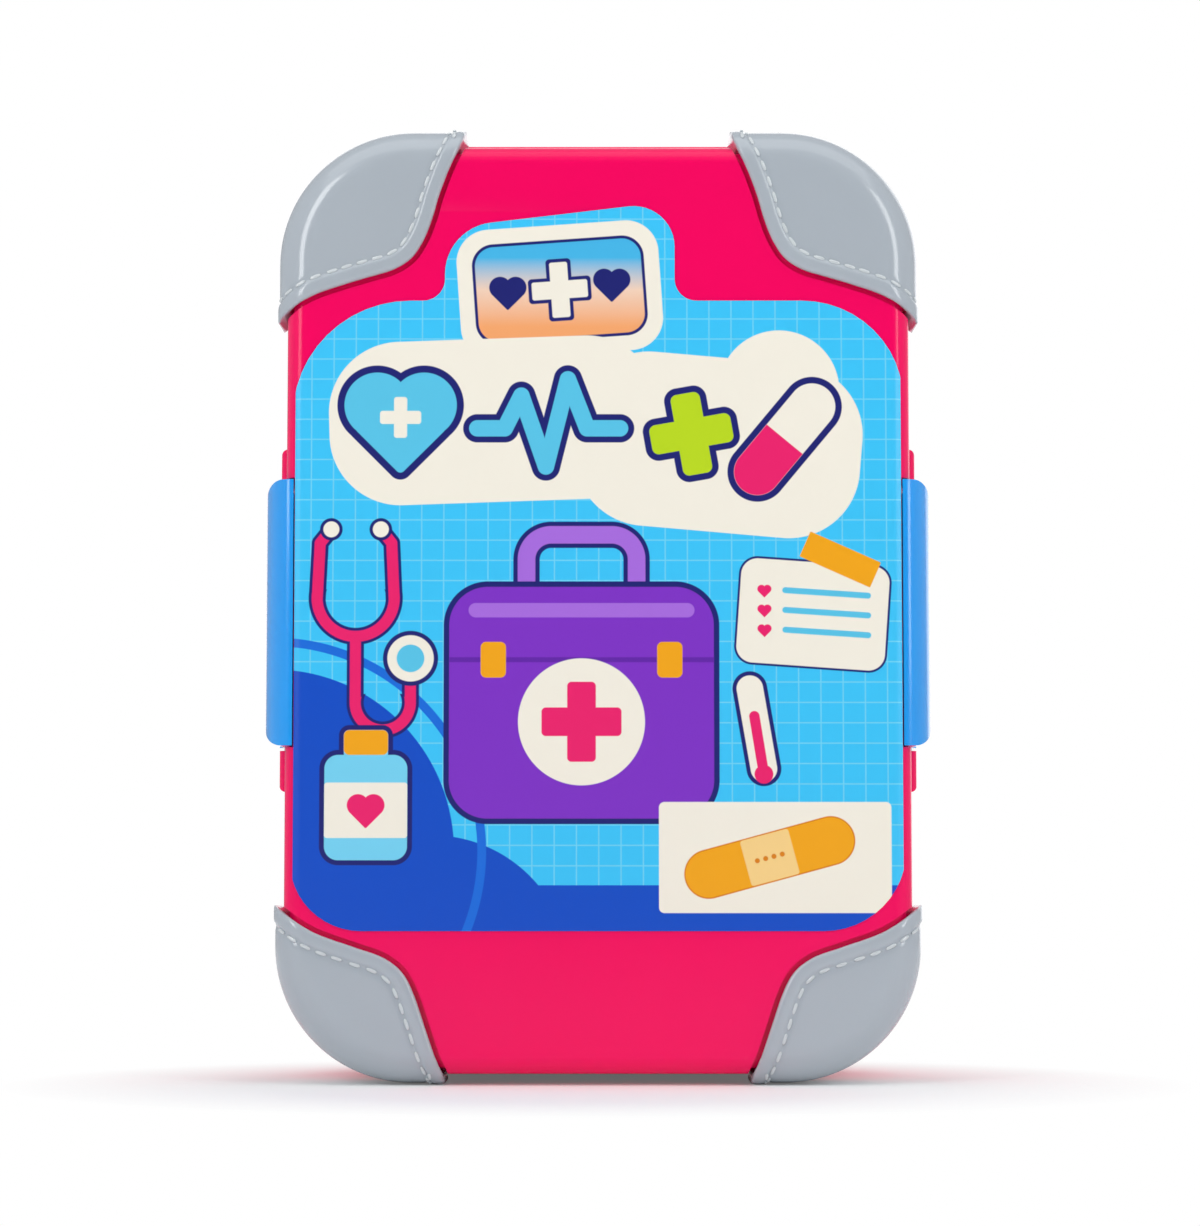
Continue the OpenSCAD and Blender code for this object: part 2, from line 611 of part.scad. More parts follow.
module axle(sx) color(steel) bar_x(wheel_y, wheel_z, axle_r,
    sx * wheel_x - well_half - well_wall, sx * wheel_x + well_half + well_wall);
module axle_left() axle(-1);
module axle_right() axle(1);
module wheel(sx) color(grey) translate([sx * wheel_x, wheel_y, wheel_z]) rotate([0, 90, 0]) difference() {
    translate([0, 0, -wheel_w / 2]) rotate_extrude() polygon([[axle_r + run, 0], [6, 0], [7, 3], [12, 3], [13, 0],
        [wheel_r - 1.5, 0], [wheel_r, 1.5], [wheel_r, wheel_w - 1.5], [wheel_r - 1.5, wheel_w], [13, wheel_w],
        [12, wheel_w - 3], [7, wheel_w - 3], [6, wheel_w], [axle_r + run, wheel_w]]);
    for (a = [0:60:300]) rotate(a) translate([9.5, 0, -wheel_w]) cylinder(r = 1.6, h = 2 * wheel_w);
}
module wheel_left() wheel(-1);
module wheel_right() wheel(1);
// Blue caps pressed into the wheels' outer recess.
module wheel_cap(sx) color(blue) translate([sx * (wheel_x + wheel_w / 2), wheel_y, wheel_z]) rotate([0, -90 * sx, 0])
    difference() {
        translate([0, 0, 0.2]) cylinder(r1 = 11.9, r2 = 12, h = 2.8);
        translate([0, 0, -1]) cylinder(r1 = 7.6, r2 = 7.2, h = 5);
    }
module wheel_cap_left() wheel_cap(-1);
module wheel_cap_right() wheel_cap(1);

// ---------- handle ----------

leg_w = 24;
cross_h = 17;
button_w = 30;
button_t = 9;
button_z0 = grip_top - 2 * button_travel;
spring_h = 2 * button_travel;
bar_len = handle_pull + bar_kept;
module handle_grip() color(cream) difference() {
    plate(bar_y0 - grip_t / 2, bar_y0 + grip_t / 2) difference() {
        union() {
            round_rect(-grip_w / 2, grip_w / 2, grip_top - 30, grip_top, 13);
            for (x = [-grip_w / 2, grip_w / 2 - leg_w]) translate([x, grip_z0]) square([leg_w, grip_h - 14]);
        }
        translate([0, grip_z0 - 20]) round_rect(-grip_w / 2 + leg_w, grip_w / 2 - leg_w, 0, 20 + grip_h - cross_h, 6);
    }
    box([-button_w / 2 - gap, bar_y0 - button_t / 2 - gap, button_z0 - spring_h],
        [button_w / 2 + gap, bar_y0 + button_t / 2 + gap, grip_top + 1]);
    both_sides() box([bar_pitch / 2 - bar_w / 2, bar_y0 - bar_t / 2, grip_z0 - 1],
        [bar_pitch / 2 + bar_w / 2, bar_y0 + bar_t / 2, grip_z0 + 18]);
}
module handle_bar(sx) color([0.88, 0.87, 0.85]) translate([sx * bar_pitch / 2, bar_y0, 0]) difference() {
    box([-bar_w / 2, -bar_t / 2, grip_z0 - bar_len], [bar_w / 2, bar_t / 2, grip_z0 + 18]);
    box([-bar_w / 4, -bar_t / 2 - 1, grip_z0 - bar_len - 1], [bar_w / 4, -bar_t / 2 + 1.5, grip_z0 - 3]);
}
module bar_left() handle_bar(-1);
module bar_right() handle_bar(1);
module handle_button() color(blue) plate(bar_y0 - button_t / 2, bar_y0 + button_t / 2)
    round_rect(-button_w / 2, button_w / 2, button_z0, grip_top + 0.6, 2.2);
module button_spring() color(steel) translate([0, bar_y0, button_z0 - spring_h]) difference() {
    cylinder(r = 3.4, h = spring_h);
    translate([0, 0, -1]) cylinder(r = 2.6, h = spring_h + 2);
}

lid_shell();
guard_top_left();
guard_top_right();
guard_bottom_left();
guard_bottom_right();
front_label();
console();
console_screen();
console_dials();
tool_rail();
lid_screws();
toy_mirror();
toy_thermometer();
toy_otoscope();
hinge_leaf();
leaf_screws();
base_shell();
worktop();
worktop_mat();
worktop_screws();
hinge_pin();
latch_pin();
latch();
tap();
guide_left();
guide_right();
guide_screws();
axle_left();
axle_right();
wheel_left();
wheel_right();
wheel_cap_left();
wheel_cap_right();
handle_grip();
bar_left();
bar_right();
handle_button();
button_spring();
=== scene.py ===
import math
import bmesh
import bpy
from mathutils import Matrix, Vector
from mathutils.bvhtree import BVHTree


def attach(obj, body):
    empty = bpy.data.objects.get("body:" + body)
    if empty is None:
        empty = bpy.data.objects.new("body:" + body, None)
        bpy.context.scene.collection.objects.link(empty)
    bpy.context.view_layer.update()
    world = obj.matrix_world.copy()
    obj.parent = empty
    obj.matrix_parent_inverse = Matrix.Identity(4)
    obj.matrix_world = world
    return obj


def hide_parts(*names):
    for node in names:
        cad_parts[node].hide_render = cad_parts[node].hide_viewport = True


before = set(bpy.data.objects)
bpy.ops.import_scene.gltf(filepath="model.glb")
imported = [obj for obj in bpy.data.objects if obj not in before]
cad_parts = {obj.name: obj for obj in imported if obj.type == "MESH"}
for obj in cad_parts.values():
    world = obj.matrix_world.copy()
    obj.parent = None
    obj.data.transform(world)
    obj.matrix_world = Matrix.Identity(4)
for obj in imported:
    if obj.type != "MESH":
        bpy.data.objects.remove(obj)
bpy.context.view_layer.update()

# ---- Studio -------------------------------------------------------------------------------
# A white sweep under soft light from both sides. The camera stands in front, a little below
# the middle of the case, and looks slightly upwards.
MM = 0.001


def free_hands():
    if bpy.context.object and bpy.context.object.mode != "OBJECT":
        bpy.ops.object.mode_set(mode="OBJECT")
    bpy.ops.object.select_all(action="DESELECT")


def rgb(r, g, b):
    """A colour as a printer names it, 0 to 255, turned into the renderer's linear values."""
    return tuple((c / 255 / 12.92 if c / 255 <= 0.04045 else ((c / 255 + 0.055) / 1.055) ** 2.4)
                 for c in (r, g, b)) + (1.0,)


class Ink:
    """One value or colour in a material. Sums written on it add the Math nodes."""

    def __init__(self, tree, out):
        self.tree, self.out = tree, out

    def node(self, kind, settings=None, inputs=None, out=0):
        made = self.tree.nodes.new(kind)
        for key, value in (settings or {}).items():
            if key == "stops":
                ramp = made.color_ramp.elements
                while len(ramp) < len(value):
                    ramp.new(0.5)
                for element, (place, colour) in zip(ramp, value):
                    element.position, element.color = place, colour
            else:
                setattr(made, key, value)
        for key, value in (inputs or {}).items():
            if value is None:
                continue
            if isinstance(value, Ink):
                self.tree.links.new(value.out, made.inputs[key])
            else:
                made.inputs[key].default_value = value
        return Ink(self.tree, made.outputs[out])

    def math(self, operation, a, b=None, c=None, clamp=False):
        return self.node("ShaderNodeMath", {"operation": operation, "use_clamp": clamp}, {0: a, 1: b, 2: c})

    def __add__(self, other): return self.math("ADD", self, other)
    def __radd__(self, other): return self.math("ADD", other, self)
    def __sub__(self, other): return self.math("SUBTRACT", self, other)
    def __rsub__(self, other): return self.math("SUBTRACT", other, self)
    def __mul__(self, other): return self.math("MULTIPLY", self, other)
    def __rmul__(self, other): return self.math("MULTIPLY", other, self)
    def __truediv__(self, other): return self.math("DIVIDE", self, other)
    def __abs__(self): return self.math("ABSOLUTE", self)

    def least(self, other): return self.math("MINIMUM", self, other)
    def most(self, other): return self.math("MAXIMUM", self, other)

    def painted(self, colour, where):
        """This colour with another laid over it where the mask is 1."""
        return self.node("ShaderNodeMix", {"data_type": "RGBA"}, {0: where, 6: self, 7: colour}, out=2)

    def between(self, low, high):
        """A colour between two others, as far along as this value says."""
        return self.node("ShaderNodeMix", {"data_type": "RGBA"}, {0: self, 6: low, 7: high}, out=2)

    def split(self):
        return [self.node("ShaderNodeSeparateXYZ", None, {0: self}, out=i) for i in range(3)]

    def noise(self, scale, **more):
        return self.node("ShaderNodeTexNoise", None, {"Vector": self, "Scale": scale, **more})

    def bump(self, strength, distance):
        return self.node("ShaderNodeBump", None, {"Height": self, "Strength": strength, "Distance": distance})


def finish_of(name):
    """A new material: its shader, and an Ink to start from with the piece's own coordinates."""
    material = bpy.data.materials.new(name)
    material.use_nodes = True
    tree = material.node_tree
    shader = tree.nodes["Principled BSDF"]
    place = tree.nodes.new("ShaderNodeTexCoord")
    return material, shader, Ink(tree, place.outputs["Object"])


def feed(shader, socket, ink):
    ink.tree.links.new(ink.out, shader.inputs[socket])


scene = bpy.context.scene
scene.view_settings.view_transform = "Standard"

world = bpy.data.worlds.new("studio_air")
scene.world = world
world.use_nodes = True
sky = Ink(world.node_tree, None)
ray = world.node_tree.nodes.new("ShaderNodeLightPath")
seen = Ink(world.node_tree, ray.outputs["Is Camera Ray"])
wide, ahead, height = sky.node("ShaderNodeTexCoord", out=0).split()
glow = (height * 0.5 + 0.5).between(rgb(205, 208, 212), rgb(252, 252, 255))
# Behind the camera the studio is dim, so that the flat front keeps its full colour. Its side
# walls are brighter and show as pale edges on the rounded sides.
dim = sky.math("MULTIPLY_ADD", ahead, -2.2, -1.1, clamp=True)
flank = sky.math("MULTIPLY_ADD", abs(wide), 2.4, -1.4, clamp=True)
air = world.node_tree.nodes["Background"]
feed(air, "Color", glow.painted((1, 1, 1, 1), seen))
feed(air, "Strength", (0.52 - dim * 0.42 + flank * 0.3).most(seen))

free_hands()
bpy.ops.mesh.primitive_plane_add(size=12, location=(0, 0, 0))
floor = bpy.context.object
floor.name = "studio_floor"
white, shader, ink = finish_of("studio_white")
shader.inputs["Base Color"].default_value = (0.93, 0.93, 0.93, 1)
shader.inputs["Roughness"].default_value = 0.9
shader.inputs["Specular IOR Level"].default_value = 0.1
# Away from the case's shadow the floor runs into the white of the air, and the shadow is a grey.
across, deep = ink.split()[:2]
distance = ink.math("SQRT", across * across * 0.55 + (deep + 0.05) * (deep + 0.05))
far = ink.math("MULTIPLY_ADD", distance, 13.0, -1.1, clamp=True)
LEAST_LIGHT = 0.12
light = white.node_tree.nodes.new("ShaderNodeEmission")
light.inputs["Strength"].default_value = 1.0
path = white.node_tree.nodes.new("ShaderNodeLightPath")
blend = white.node_tree.nodes.new("ShaderNodeMixShader")
feed(blend, 0, far.most(LEAST_LIGHT) * Ink(ink.tree, path.outputs["Is Camera Ray"]))
white.node_tree.links.new(shader.outputs[0], blend.inputs[1])
white.node_tree.links.new(light.outputs[0], blend.inputs[2])
white.node_tree.links.new(blend.outputs[0], white.node_tree.nodes["Material Output"].inputs["Surface"])
floor.data.materials.append(white)


def softbox(name, place, aim, size, power):
    lamp = bpy.data.lights.new(name, "AREA")
    lamp.shape, lamp.size, lamp.size_y, lamp.energy = "RECTANGLE", size[0], size[1], power
    holder = bpy.data.objects.new(name, lamp)
    scene.collection.objects.link(holder)
    holder.location = place
    holder.rotation_euler = (Vector(aim) - Vector(place)).to_track_quat("-Z", "Y").to_euler()


softbox("softbox_left", (-0.85, -1.05, 0.75), (0, -0.05, 0.18), (0.35, 0.9), 5.6)
softbox("softbox_right", (0.95, -0.95, 0.65), (0, -0.05, 0.18), (0.3, 0.9), 4.4)
softbox("softbox_top", (0.0, -0.35, 1.25), (0, 0, 0.15), (1.8, 0.8), 4.4)
softbox("softbox_back", (0.3, 1.3, 0.6), (0, 0.05, 0.17), (1.8, 1.3), 7)

eye = Vector((0.0007, -1.2655, 0.080))
aim = Vector((0.0007, -0.0655, 0.1704))
# The frame is 1226 pixels high, and a pixel covers 0.3604 mm at this distance from the camera.
FRAME_PIXELS, METRES_PER_PIXEL, PIXELS_AT = 1226, 0.0003604, 1.196
camera = bpy.data.cameras.new("camera")
camera.sensor_width = 36
camera.lens = 36 * PIXELS_AT / (FRAME_PIXELS * METRES_PER_PIXEL)
camera.clip_start, camera.clip_end = 0.05, 30
camera_rig = bpy.data.objects.new("camera", camera)
scene.collection.objects.link(camera_rig)
camera_rig.location = eye
camera_rig.rotation_euler = (aim - eye).to_track_quat("-Z", "Y").to_euler()
scene.camera = camera_rig

# ---- Lid shell ----------------------------------------------------------------------------
# The front half of the case: one deep tray of glossy pink polypropylene, injection moulded,
# with a rounded front edge, a standing rim at its back and channels for the side pieces.
LID_X, LID_LOW, LID_HIGH = 114.0, 4.0, 343.0
LID_FRONT, LID_BACK = -64.0, -24.3
LID_R, LID_EDGE, WALL = 46.0, 7.0, 2.6
CHANNEL_X, CLASP_LOW, CLASP_HIGH = 110.6, 122.5, 219.5


def take_up(piece):
    """Puts one piece in hand, alone."""
    free_hands()
    piece.select_set(True)
    bpy.context.view_layer.objects.active = piece


def apply_step(step):
    bpy.ops.object.modifier_apply(modifier=step.name)


def round_edges(test, width, steps):
    """Rounds those edges of the piece in hand that pass the test, in mm."""
    bpy.ops.mesh.select_mode(type="EDGE")
    bpy.ops.mesh.select_all(action="DESELECT")
    mesh = bmesh.from_edit_mesh(bpy.context.object.data)
    for edge in mesh.edges:
        if test(edge):
            edge.select_set(True)
    bmesh.update_edit_mesh(bpy.context.object.data)
    bpy.ops.mesh.bevel(offset=width * MM, segments=steps, affect="EDGES", clamp_overlap=False)


def at_depth(y):
    """A test for edges that lie in one plane across the case, y in mm."""
    return lambda edge: all(abs(v.co.y - y * MM) < 1e-7 for v in edge.verts)


def block(name, x0, x1, low, high, r, ya, yb, edge=0.0, steps=20, edge_steps=8):
    """A block whose four long corners are rounded and whose rim at y = ya is rolled over, in mm."""
    free_hands()
    middle = ((x0 + x1) / 2 * MM, (ya + yb) / 2 * MM, (low + high) / 2 * MM)
    bpy.ops.mesh.primitive_cube_add(size=1, location=middle)
    piece = bpy.context.object
    piece.name = name
    piece.scale = ((x1 - x0) * MM, abs(yb - ya) * MM, (high - low) * MM)
    bpy.ops.object.transform_apply(location=True, rotation=True, scale=True)
    bpy.ops.object.mode_set(mode="EDIT")
    if r:
        round_edges(lambda e: abs((e.verts[0].co - e.verts[1].co).y) > 1e-6, r, steps)
    if edge:
        round_edges(at_depth(ya), edge, edge_steps)
    bpy.ops.object.mode_set(mode="OBJECT")
    return piece


def prism(name, outline, a, b, along="Y"):
    """A flat outline in mm, drawn as a curve and given its thickness, from a to b along an axis."""
    curve = bpy.data.curves.new(name, "CURVE")
    curve.dimensions, curve.fill_mode, curve.extrude = "2D", "BOTH", (b - a) / 2 * MM
    line = curve.splines.new("POLY")
    line.points.add(len(outline) - 1)
    for point, (u, v) in zip(line.points, outline):
        point.co = (u * MM, v * MM, 0, 1)
    line.use_cyclic_u = True
    piece = bpy.data.objects.new(name, curve)
    scene.collection.objects.link(piece)
    if along == "Y":
        piece.rotation_euler.x = math.pi / 2
        piece.location.y = (a + b) / 2 * MM
    else:
        piece.location.z = (a + b) / 2 * MM
    take_up(piece)
    bpy.ops.object.convert(target="MESH")
    bpy.ops.object.transform_apply(location=True, rotation=True, scale=True)
    tidy_faces(piece)
    return piece


def tidy_faces(piece):
    take_up(piece)
    bpy.ops.object.mode_set(mode="EDIT")
    bpy.ops.mesh.select_all(action="SELECT")
    bpy.ops.mesh.remove_doubles(threshold=1e-6)
    bpy.ops.mesh.normals_make_consistent(inside=False)
    bpy.ops.object.mode_set(mode="OBJECT")


def join_solid(piece, tool, how="UNION"):
    """Adds, cuts or keeps what two solids share, and uses up the second one."""
    step = piece.modifiers.new(how, "BOOLEAN")
    step.operation, step.object, step.solver = how, tool, "EXACT"
    take_up(piece)
    apply_step(step)
    bpy.data.objects.remove(tool)
    return piece


def cut(piece, *tools):
    for tool in tools:
        join_solid(piece, tool, "DIFFERENCE")
    return piece


def peg(name, start, end, r, r_end=None, sides=40):
    """A round post from one point to another, in mm."""
    a, b = Vector(start), Vector(end)
    tip = r if r_end is None else r_end
    free_hands()
    bpy.ops.mesh.primitive_cone_add(vertices=sides, radius1=r * MM, radius2=tip * MM,
                                    depth=(b - a).length * MM, location=(a + b) / 2 * MM,
                                    rotation=(b - a).to_track_quat("Z", "Y").to_euler())
    piece = bpy.context.object
    piece.name = name
    bpy.ops.object.transform_apply(location=True, rotation=True, scale=True)
    return piece


def ease(piece, width):
    """Breaks the sharp edges of a moulding and shades the rest smooth, its flats staying flat."""
    take_up(piece)
    if width:
        edge = piece.modifiers.new("eased", "BEVEL")
        edge.width, edge.segments, edge.limit_method = width * MM, 2, "ANGLE"
        edge.angle_limit, edge.use_clamp_overlap = math.radians(35), True
        apply_step(edge)
    bpy.ops.object.shade_smooth_by_angle(angle=math.radians(40))
    flats = piece.modifiers.new("flats", "WEIGHTED_NORMAL")
    flats.keep_sharp, flats.weight = True, 80
    apply_step(flats)
    return piece


def dress(piece, material, body, node):
    """Gives a piece its finish and its body, and hides the CAD solid it stands for."""
    piece.data.materials.clear()
    piece.data.materials.append(material)
    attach(piece, body)
    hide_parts(node)


def moulded(name, colour, rough, coat, grain=0.02, drift=0.04, depth=0.0, mirror=0.5, stitch_highlight=None):
    """Injection-moulded plastic: even colour with a faint drift, fine skin and handling marks."""
    material, shader, place = finish_of(name)
    cloud = place.noise(9.0, Detail=2.0)
    fine = place.noise(520.0, Detail=1.0)
    rub = place.noise(60.0, Detail=5.0, Roughness=0.65)
    darker = tuple(c * (1 - drift * 2) for c in colour[:3]) + (1,)
    lighter = tuple(min(1, c * (1 + drift)) for c in colour[:3]) + (1,)
    skin = cloud.between(darker, lighter)
    if stitch_highlight:
        # The tops of the moulded stitches are painted paler: a painted highlight, not their own colour.
        skin = skin.painted(stitch_highlight, skin.node("ShaderNodeAttribute", {"attribute_name": "stitch"}, out=2))
    feed(shader, "Base Color", skin)
    feed(shader, "Roughness", rub * 0.10 + (rough - 0.05))
    feed(shader, "Normal", fine.bump(grain, 0.0004))
    shader.inputs["Specular IOR Level"].default_value = mirror
    shader.inputs["Coat Weight"].default_value = coat
    shader.inputs["Coat Roughness"].default_value = 0.08
    if depth:
        shader.inputs["Subsurface Weight"].default_value = depth
        shader.inputs["Subsurface Radius"].default_value = (0.004, 0.003, 0.003)
        shader.inputs["Subsurface Scale"].default_value = 0.5
    return material


# It mirrors little, so that the front keeps its full pink above the white floor.
pink_plastic = moulded("pink_plastic", rgb(255, 3, 98), rough=0.22, coat=0.1, grain=0.0, mirror=0.22)

# Hem lines of the upper and the lower guard, read from the inner corner's view: distance in
# mm from the case's middle line, and height. The pocket in the shell follows them.
UPPER_HEM = [(47.0, 356), (48.9, 347), (51.6, 340), (55.1, 332), (58.3, 323), (60.6, 315), (63.8, 307),
             (68.2, 300.5), (74.6, 296.3), (83, 293.7), (92, 291), (103.1, 287.2), (111.5, 282.5), (118, 277.5),
             (124, 272)]
LOWER_HEM = [(54.6, -6), (55.5, 3), (59, 12), (62.4, 22), (66.2, 33), (70.4, 40.8), (77.4, 46.2), (88, 50),
             (102, 55), (112.5, 61.5), (118, 65.5), (124, 70)]


def eased_line(points, per=8):
    """A smooth line through a few measured points."""
    out = []
    for i in range(len(points) - 1):
        p0, p1, p2 = points[max(i - 1, 0)], points[i], points[i + 1]
        p3 = points[min(i + 2, len(points) - 1)]
        for k in range(per):
            t = k / per
            out.append(tuple(0.5 * (2 * b + (c - a) * t + (2 * a - 5 * b + 4 * c - d) * t * t
                                    + (3 * b - a - 3 * c + d) * t ** 3)
                             for a, b, c, d in zip(p0, p1, p2, p3)))
    return out + [points[-1]]


def beside(line, distance):
    """The same line moved sideways, away from the case's middle where distance is positive."""
    out = []
    for i, (x, z) in enumerate(line):
        a, b = line[max(i - 1, 0)], line[min(i + 1, len(line) - 1)]
        dx, dz = b[0] - a[0], b[1] - a[1]
        size = math.hypot(dx, dz)
        side = 1 if line[0][1] > line[-1][1] else -1
        out.append((x - dz / size * distance * side, z + dx / size * distance * side))
    return out


def corner_area(line, distance, top, mirror):
    """The area of one corner of the front, outside a hem line moved by a distance."""
    edge = beside(line, distance)
    far = (140, 370) if top else (140, -20)
    area = edge + [(140, edge[-1][1]), far, (edge[0][0], far[1])]
    return [(-x, z) for x, z in reversed(area)] if mirror < 0 else area


def lid_outside(name, grow=0.0, yb=LID_BACK):
    return block(name, -LID_X - grow, LID_X + grow, LID_LOW - grow, LID_HIGH + grow, LID_R + grow,
                 LID_FRONT - grow, yb, LID_EDGE + grow)


lid = lid_outside("lid_shell_visual")
join_solid(lid, block("rim", -116, 116, 4.0, 349.4, 48, -31, LID_BACK, edge=0.8, edge_steps=3))
for line, top in ((eased_line(UPPER_HEM), True), (eased_line(LOWER_HEM), False)):
    for side in (-1, 1):
        pocket = cut(lid_outside("pocket", 3, yb=-31.5), lid_outside("keep", -1.3, yb=-20))
        join_solid(pocket, prism("corner", corner_area(line, -1.6, top, side), -80, -10), "INTERSECT")
        cut(lid, pocket)
        trench = cut(lid_outside("trench", 3, yb=-31.5), lid_outside("keep", -2.1, yb=-20))
        join_solid(trench, prism("corner", corner_area(line, -1.5, top, side), -80, -10), "INTERSECT")
        cut(trench, prism("under_hem", corner_area(line, 1.2, top, side), -82, -8))
        cut(lid, trench)
hollow = block("hollow", -LID_X + WALL, LID_X - WALL, LID_LOW + WALL, LID_HIGH - WALL, LID_R - WALL,
               LID_FRONT + WALL, -10, LID_EDGE - WALL)
for side in (-1, 1):
    x0, x1 = sorted((side * (CHANNEL_X - WALL), side * 116))
    cut(hollow, block("pad", x0, x1, CLASP_LOW - WALL, CLASP_HIGH + WALL, 0, -66, -5))
cut(lid, hollow)
for side in (-1, 1):
    x0, x1 = sorted((side * CHANNEL_X, side * 130))
    cut(lid, block("channel", x0, x1, CLASP_LOW - 0.6, CLASP_HIGH + 0.6, 0, -70, -20))
ease(lid, 0.5)
dress(lid, pink_plastic, "lid", "lid_shell")

# ---- Corner guards ------------------------------------------------------------------------
# Four soft grey caps pressed over the lid's corners. Each is moulded with a slightly raised hem
# along its inner edge and a row of false stitches in a shallow dip behind it.
GUARD_BACK = -31.4
GUARD_X, GUARD_TOP, GUARD_FRONT, GUARD_R, GUARD_EDGE = 118, 350, -66, 50, 13
SEAM, SEAM_PITCH, LONGEST_STEP = 6.1, 5.4, 5.0
# The paler grey given for the stitches is a painted highlight on their tops.
guard_grey = moulded("guard_grey", rgb(176, 185, 193), rough=0.2, coat=0.4, grain=0.03, drift=0.03,
                     stitch_highlight=rgb(208, 215, 218))


def guard_zone(name, hem, top, side, start, end, less):
    """One strip of the guard's skin, between two distances from the hem line."""
    tray = block(name, -GUARD_X + less, GUARD_X - less, less, GUARD_TOP - less, GUARD_R - less,
                 GUARD_FRONT + less, GUARD_BACK, GUARD_EDGE - less, steps=28, edge_steps=14)
    cut(tray, lid_outside("seat", -1.25, yb=-10))
    join_solid(tray, prism("strip", corner_area(hem, start, top, side), -70, -20), "INTERSECT")
    if end:
        cut(tray, prism("rest", corner_area(hem, end, top, side), -72, -18))
    return tray


def stitches(hem, top, side, surface):
    """Where the false stitches lie: middle, run and outward direction of each, on the groove."""
    tree = BVHTree.FromObject(surface, bpy.context.evaluated_depsgraph_get())
    line = beside(eased_line(hem), SEAM)
    depths = [(-33 - k * 1.45) * MM for k in range(24)]
    (first_x, _), (_, last_z) = line[0], line[-1]
    # The row starts on the top or bottom face, crosses the front and ends on the side face.
    rays = [((side * first_x * MM, y, 0.40 if top else -0.05), (0, 0, -1 if top else 1), False) for y in depths]
    rays += [((side * x * MM, -0.2, z * MM), (0, 1, 0), True) for x, z in line]
    rays += [((side * 0.2, y, last_z * MM), (-side, 0, 0), False) for y in reversed(depths)]
    found = []
    for start, aim, on_front in rays:
        point, normal = tree.ray_cast(Vector(start), Vector(aim))[:2]
        if point is not None and (not on_front or point.y < GUARD_BACK * MM):
            found.append((point, normal))
    bars, travelled = [], 0.0
    for (p, n), (q, m) in zip(found, found[1:]):
        gap = (q - p).length
        if gap > LONGEST_STEP * MM or n.dot(m) < 0.8:
            continue
        travelled += gap
        if travelled >= SEAM_PITCH * MM:
            travelled = 0.0
            bars.append(((p + q) / 2, (q - p).normalized(), (n + m).normalized()))
    return bars


def guard(name, hem, top, side):
    """One guard: field, raised hem and dip melted into one skin, with the stitches laid on it."""
    line = eased_line(hem)
    piece = guard_zone(name, line, top, side, 7.0, None, 0.6)
    bands = [guard_zone("hem", line, top, side, 0, 5.2, 0.0), guard_zone("dip", line, top, side, 4.9, 7.3, 1.05)]
    take_up(piece)
    for band in bands:
        band.select_set(True)
    bpy.ops.object.join()
    skin = piece.modifiers.new("soft_edges", "REMESH")
    skin.mode, skin.voxel_size = "VOXEL", 0.62 * MM
    take_up(piece)
    apply_step(skin)
    # The hem's free edge is rounded more than the rest.
    rim, rim_width = piece.vertex_groups.new(name="rim"), 2.6
    for vertex in piece.data.vertices:
        x, z = abs(vertex.co.x) / MM, vertex.co.z / MM
        away = min(math.hypot(x - a, z - b) for a, b in line)
        if away < rim_width:
            rim.add([vertex.index], min(1.0, rim_width - away), "REPLACE")
    for group, turns in (("", 9), ("rim", 26)):
        relax = piece.modifiers.new("relax", "SMOOTH")
        relax.factor, relax.iterations, relax.vertex_group = 0.5, turns, group
        apply_step(relax)
    bpy.ops.object.shade_smooth()
    bars = []
    for middle, along, out in stitches(hem, top, side, piece):
        across = out.cross(along).normalized()
        free_hands()
        bpy.ops.mesh.primitive_uv_sphere_add(segments=12, ring_count=6, radius=1)
        bar = bpy.context.object
        mark = bar.data.attributes.new("stitch", "FLOAT", "POINT")
        mark.data.foreach_set("value", [1.0] * len(bar.data.vertices))
        for vertex in bar.data.vertices:
            vertex.co.x = math.copysign(abs(vertex.co.x) ** 0.55, vertex.co.x)
        turn = Matrix((along, across, out)).transposed().to_4x4()
        bar.data.transform(Matrix.Translation(middle + out * 0.15 * MM) @ turn
                           @ Matrix.Diagonal((2.15 * MM, 0.72 * MM, 0.5 * MM, 1)))
        for face in bar.data.polygons:
            face.use_smooth = True
        bars.append(bar)
    take_up(piece)
    for bar in bars:
        bar.select_set(True)
    bpy.ops.object.join()
    dress(piece, guard_grey, "lid", name.replace("_visual", ""))


for row, hem, top in (("top", UPPER_HEM, True), ("bottom", LOWER_HEM, False)):
    guard(f"guard_{row}_left_visual", hem, top, -1)
    guard(f"guard_{row}_right_visual", hem, top, 1)

# ---- Front label --------------------------------------------------------------------------
# A printed film stuck on the lid between the guards, with a tab that stands up left of the
# middle. The print is a generic doctor's set: heart, pulse line, plus signs, bag and plaster.
LABEL_T = 0.35


def bow(cx, cz, r, a0, a1, n=12):
    """Points on an arc, from one angle in degrees to another."""
    return [(cx + r * math.cos(math.radians(a0 + (a1 - a0) * i / n)),
             cz + r * math.sin(math.radians(a0 + (a1 - a0) * i / n))) for i in range(n + 1)]


label_edge = (bow(-85.5, 81.5, 26, 180, 270) + bow(81.5, 85.5, 30, 270, 360) + bow(74.5, 248, 37, 0, 90)
              + bow(36, 293, 8, 270, 180) + bow(13, 305, 15, 0, 97) + bow(-37, 295, 19, 97, 180)
              + bow(-64, 293, 8, 0, -90) + bow(-68.5, 242, 43, 90, 180))
film = lid_outside("front_label_visual", LABEL_T, yb=-50)
join_solid(film, prism("outline", label_edge, -66, -57), "INTERSECT")
join_solid(film, block("clear_of_channels", -110.4, 110.4, 20, 330, 0, -66, -50), "INTERSECT")
cut(film, lid_outside("under", 0.02, yb=-10))
ease(film, 0)


def disc(x, z, cx, cz, r):
    """Distance to a disc, negative inside, like all the shapes that follow."""
    return x.math("SQRT", x.math("POWER", x - cx, 2.0) + x.math("POWER", z - cz, 2.0)) - r


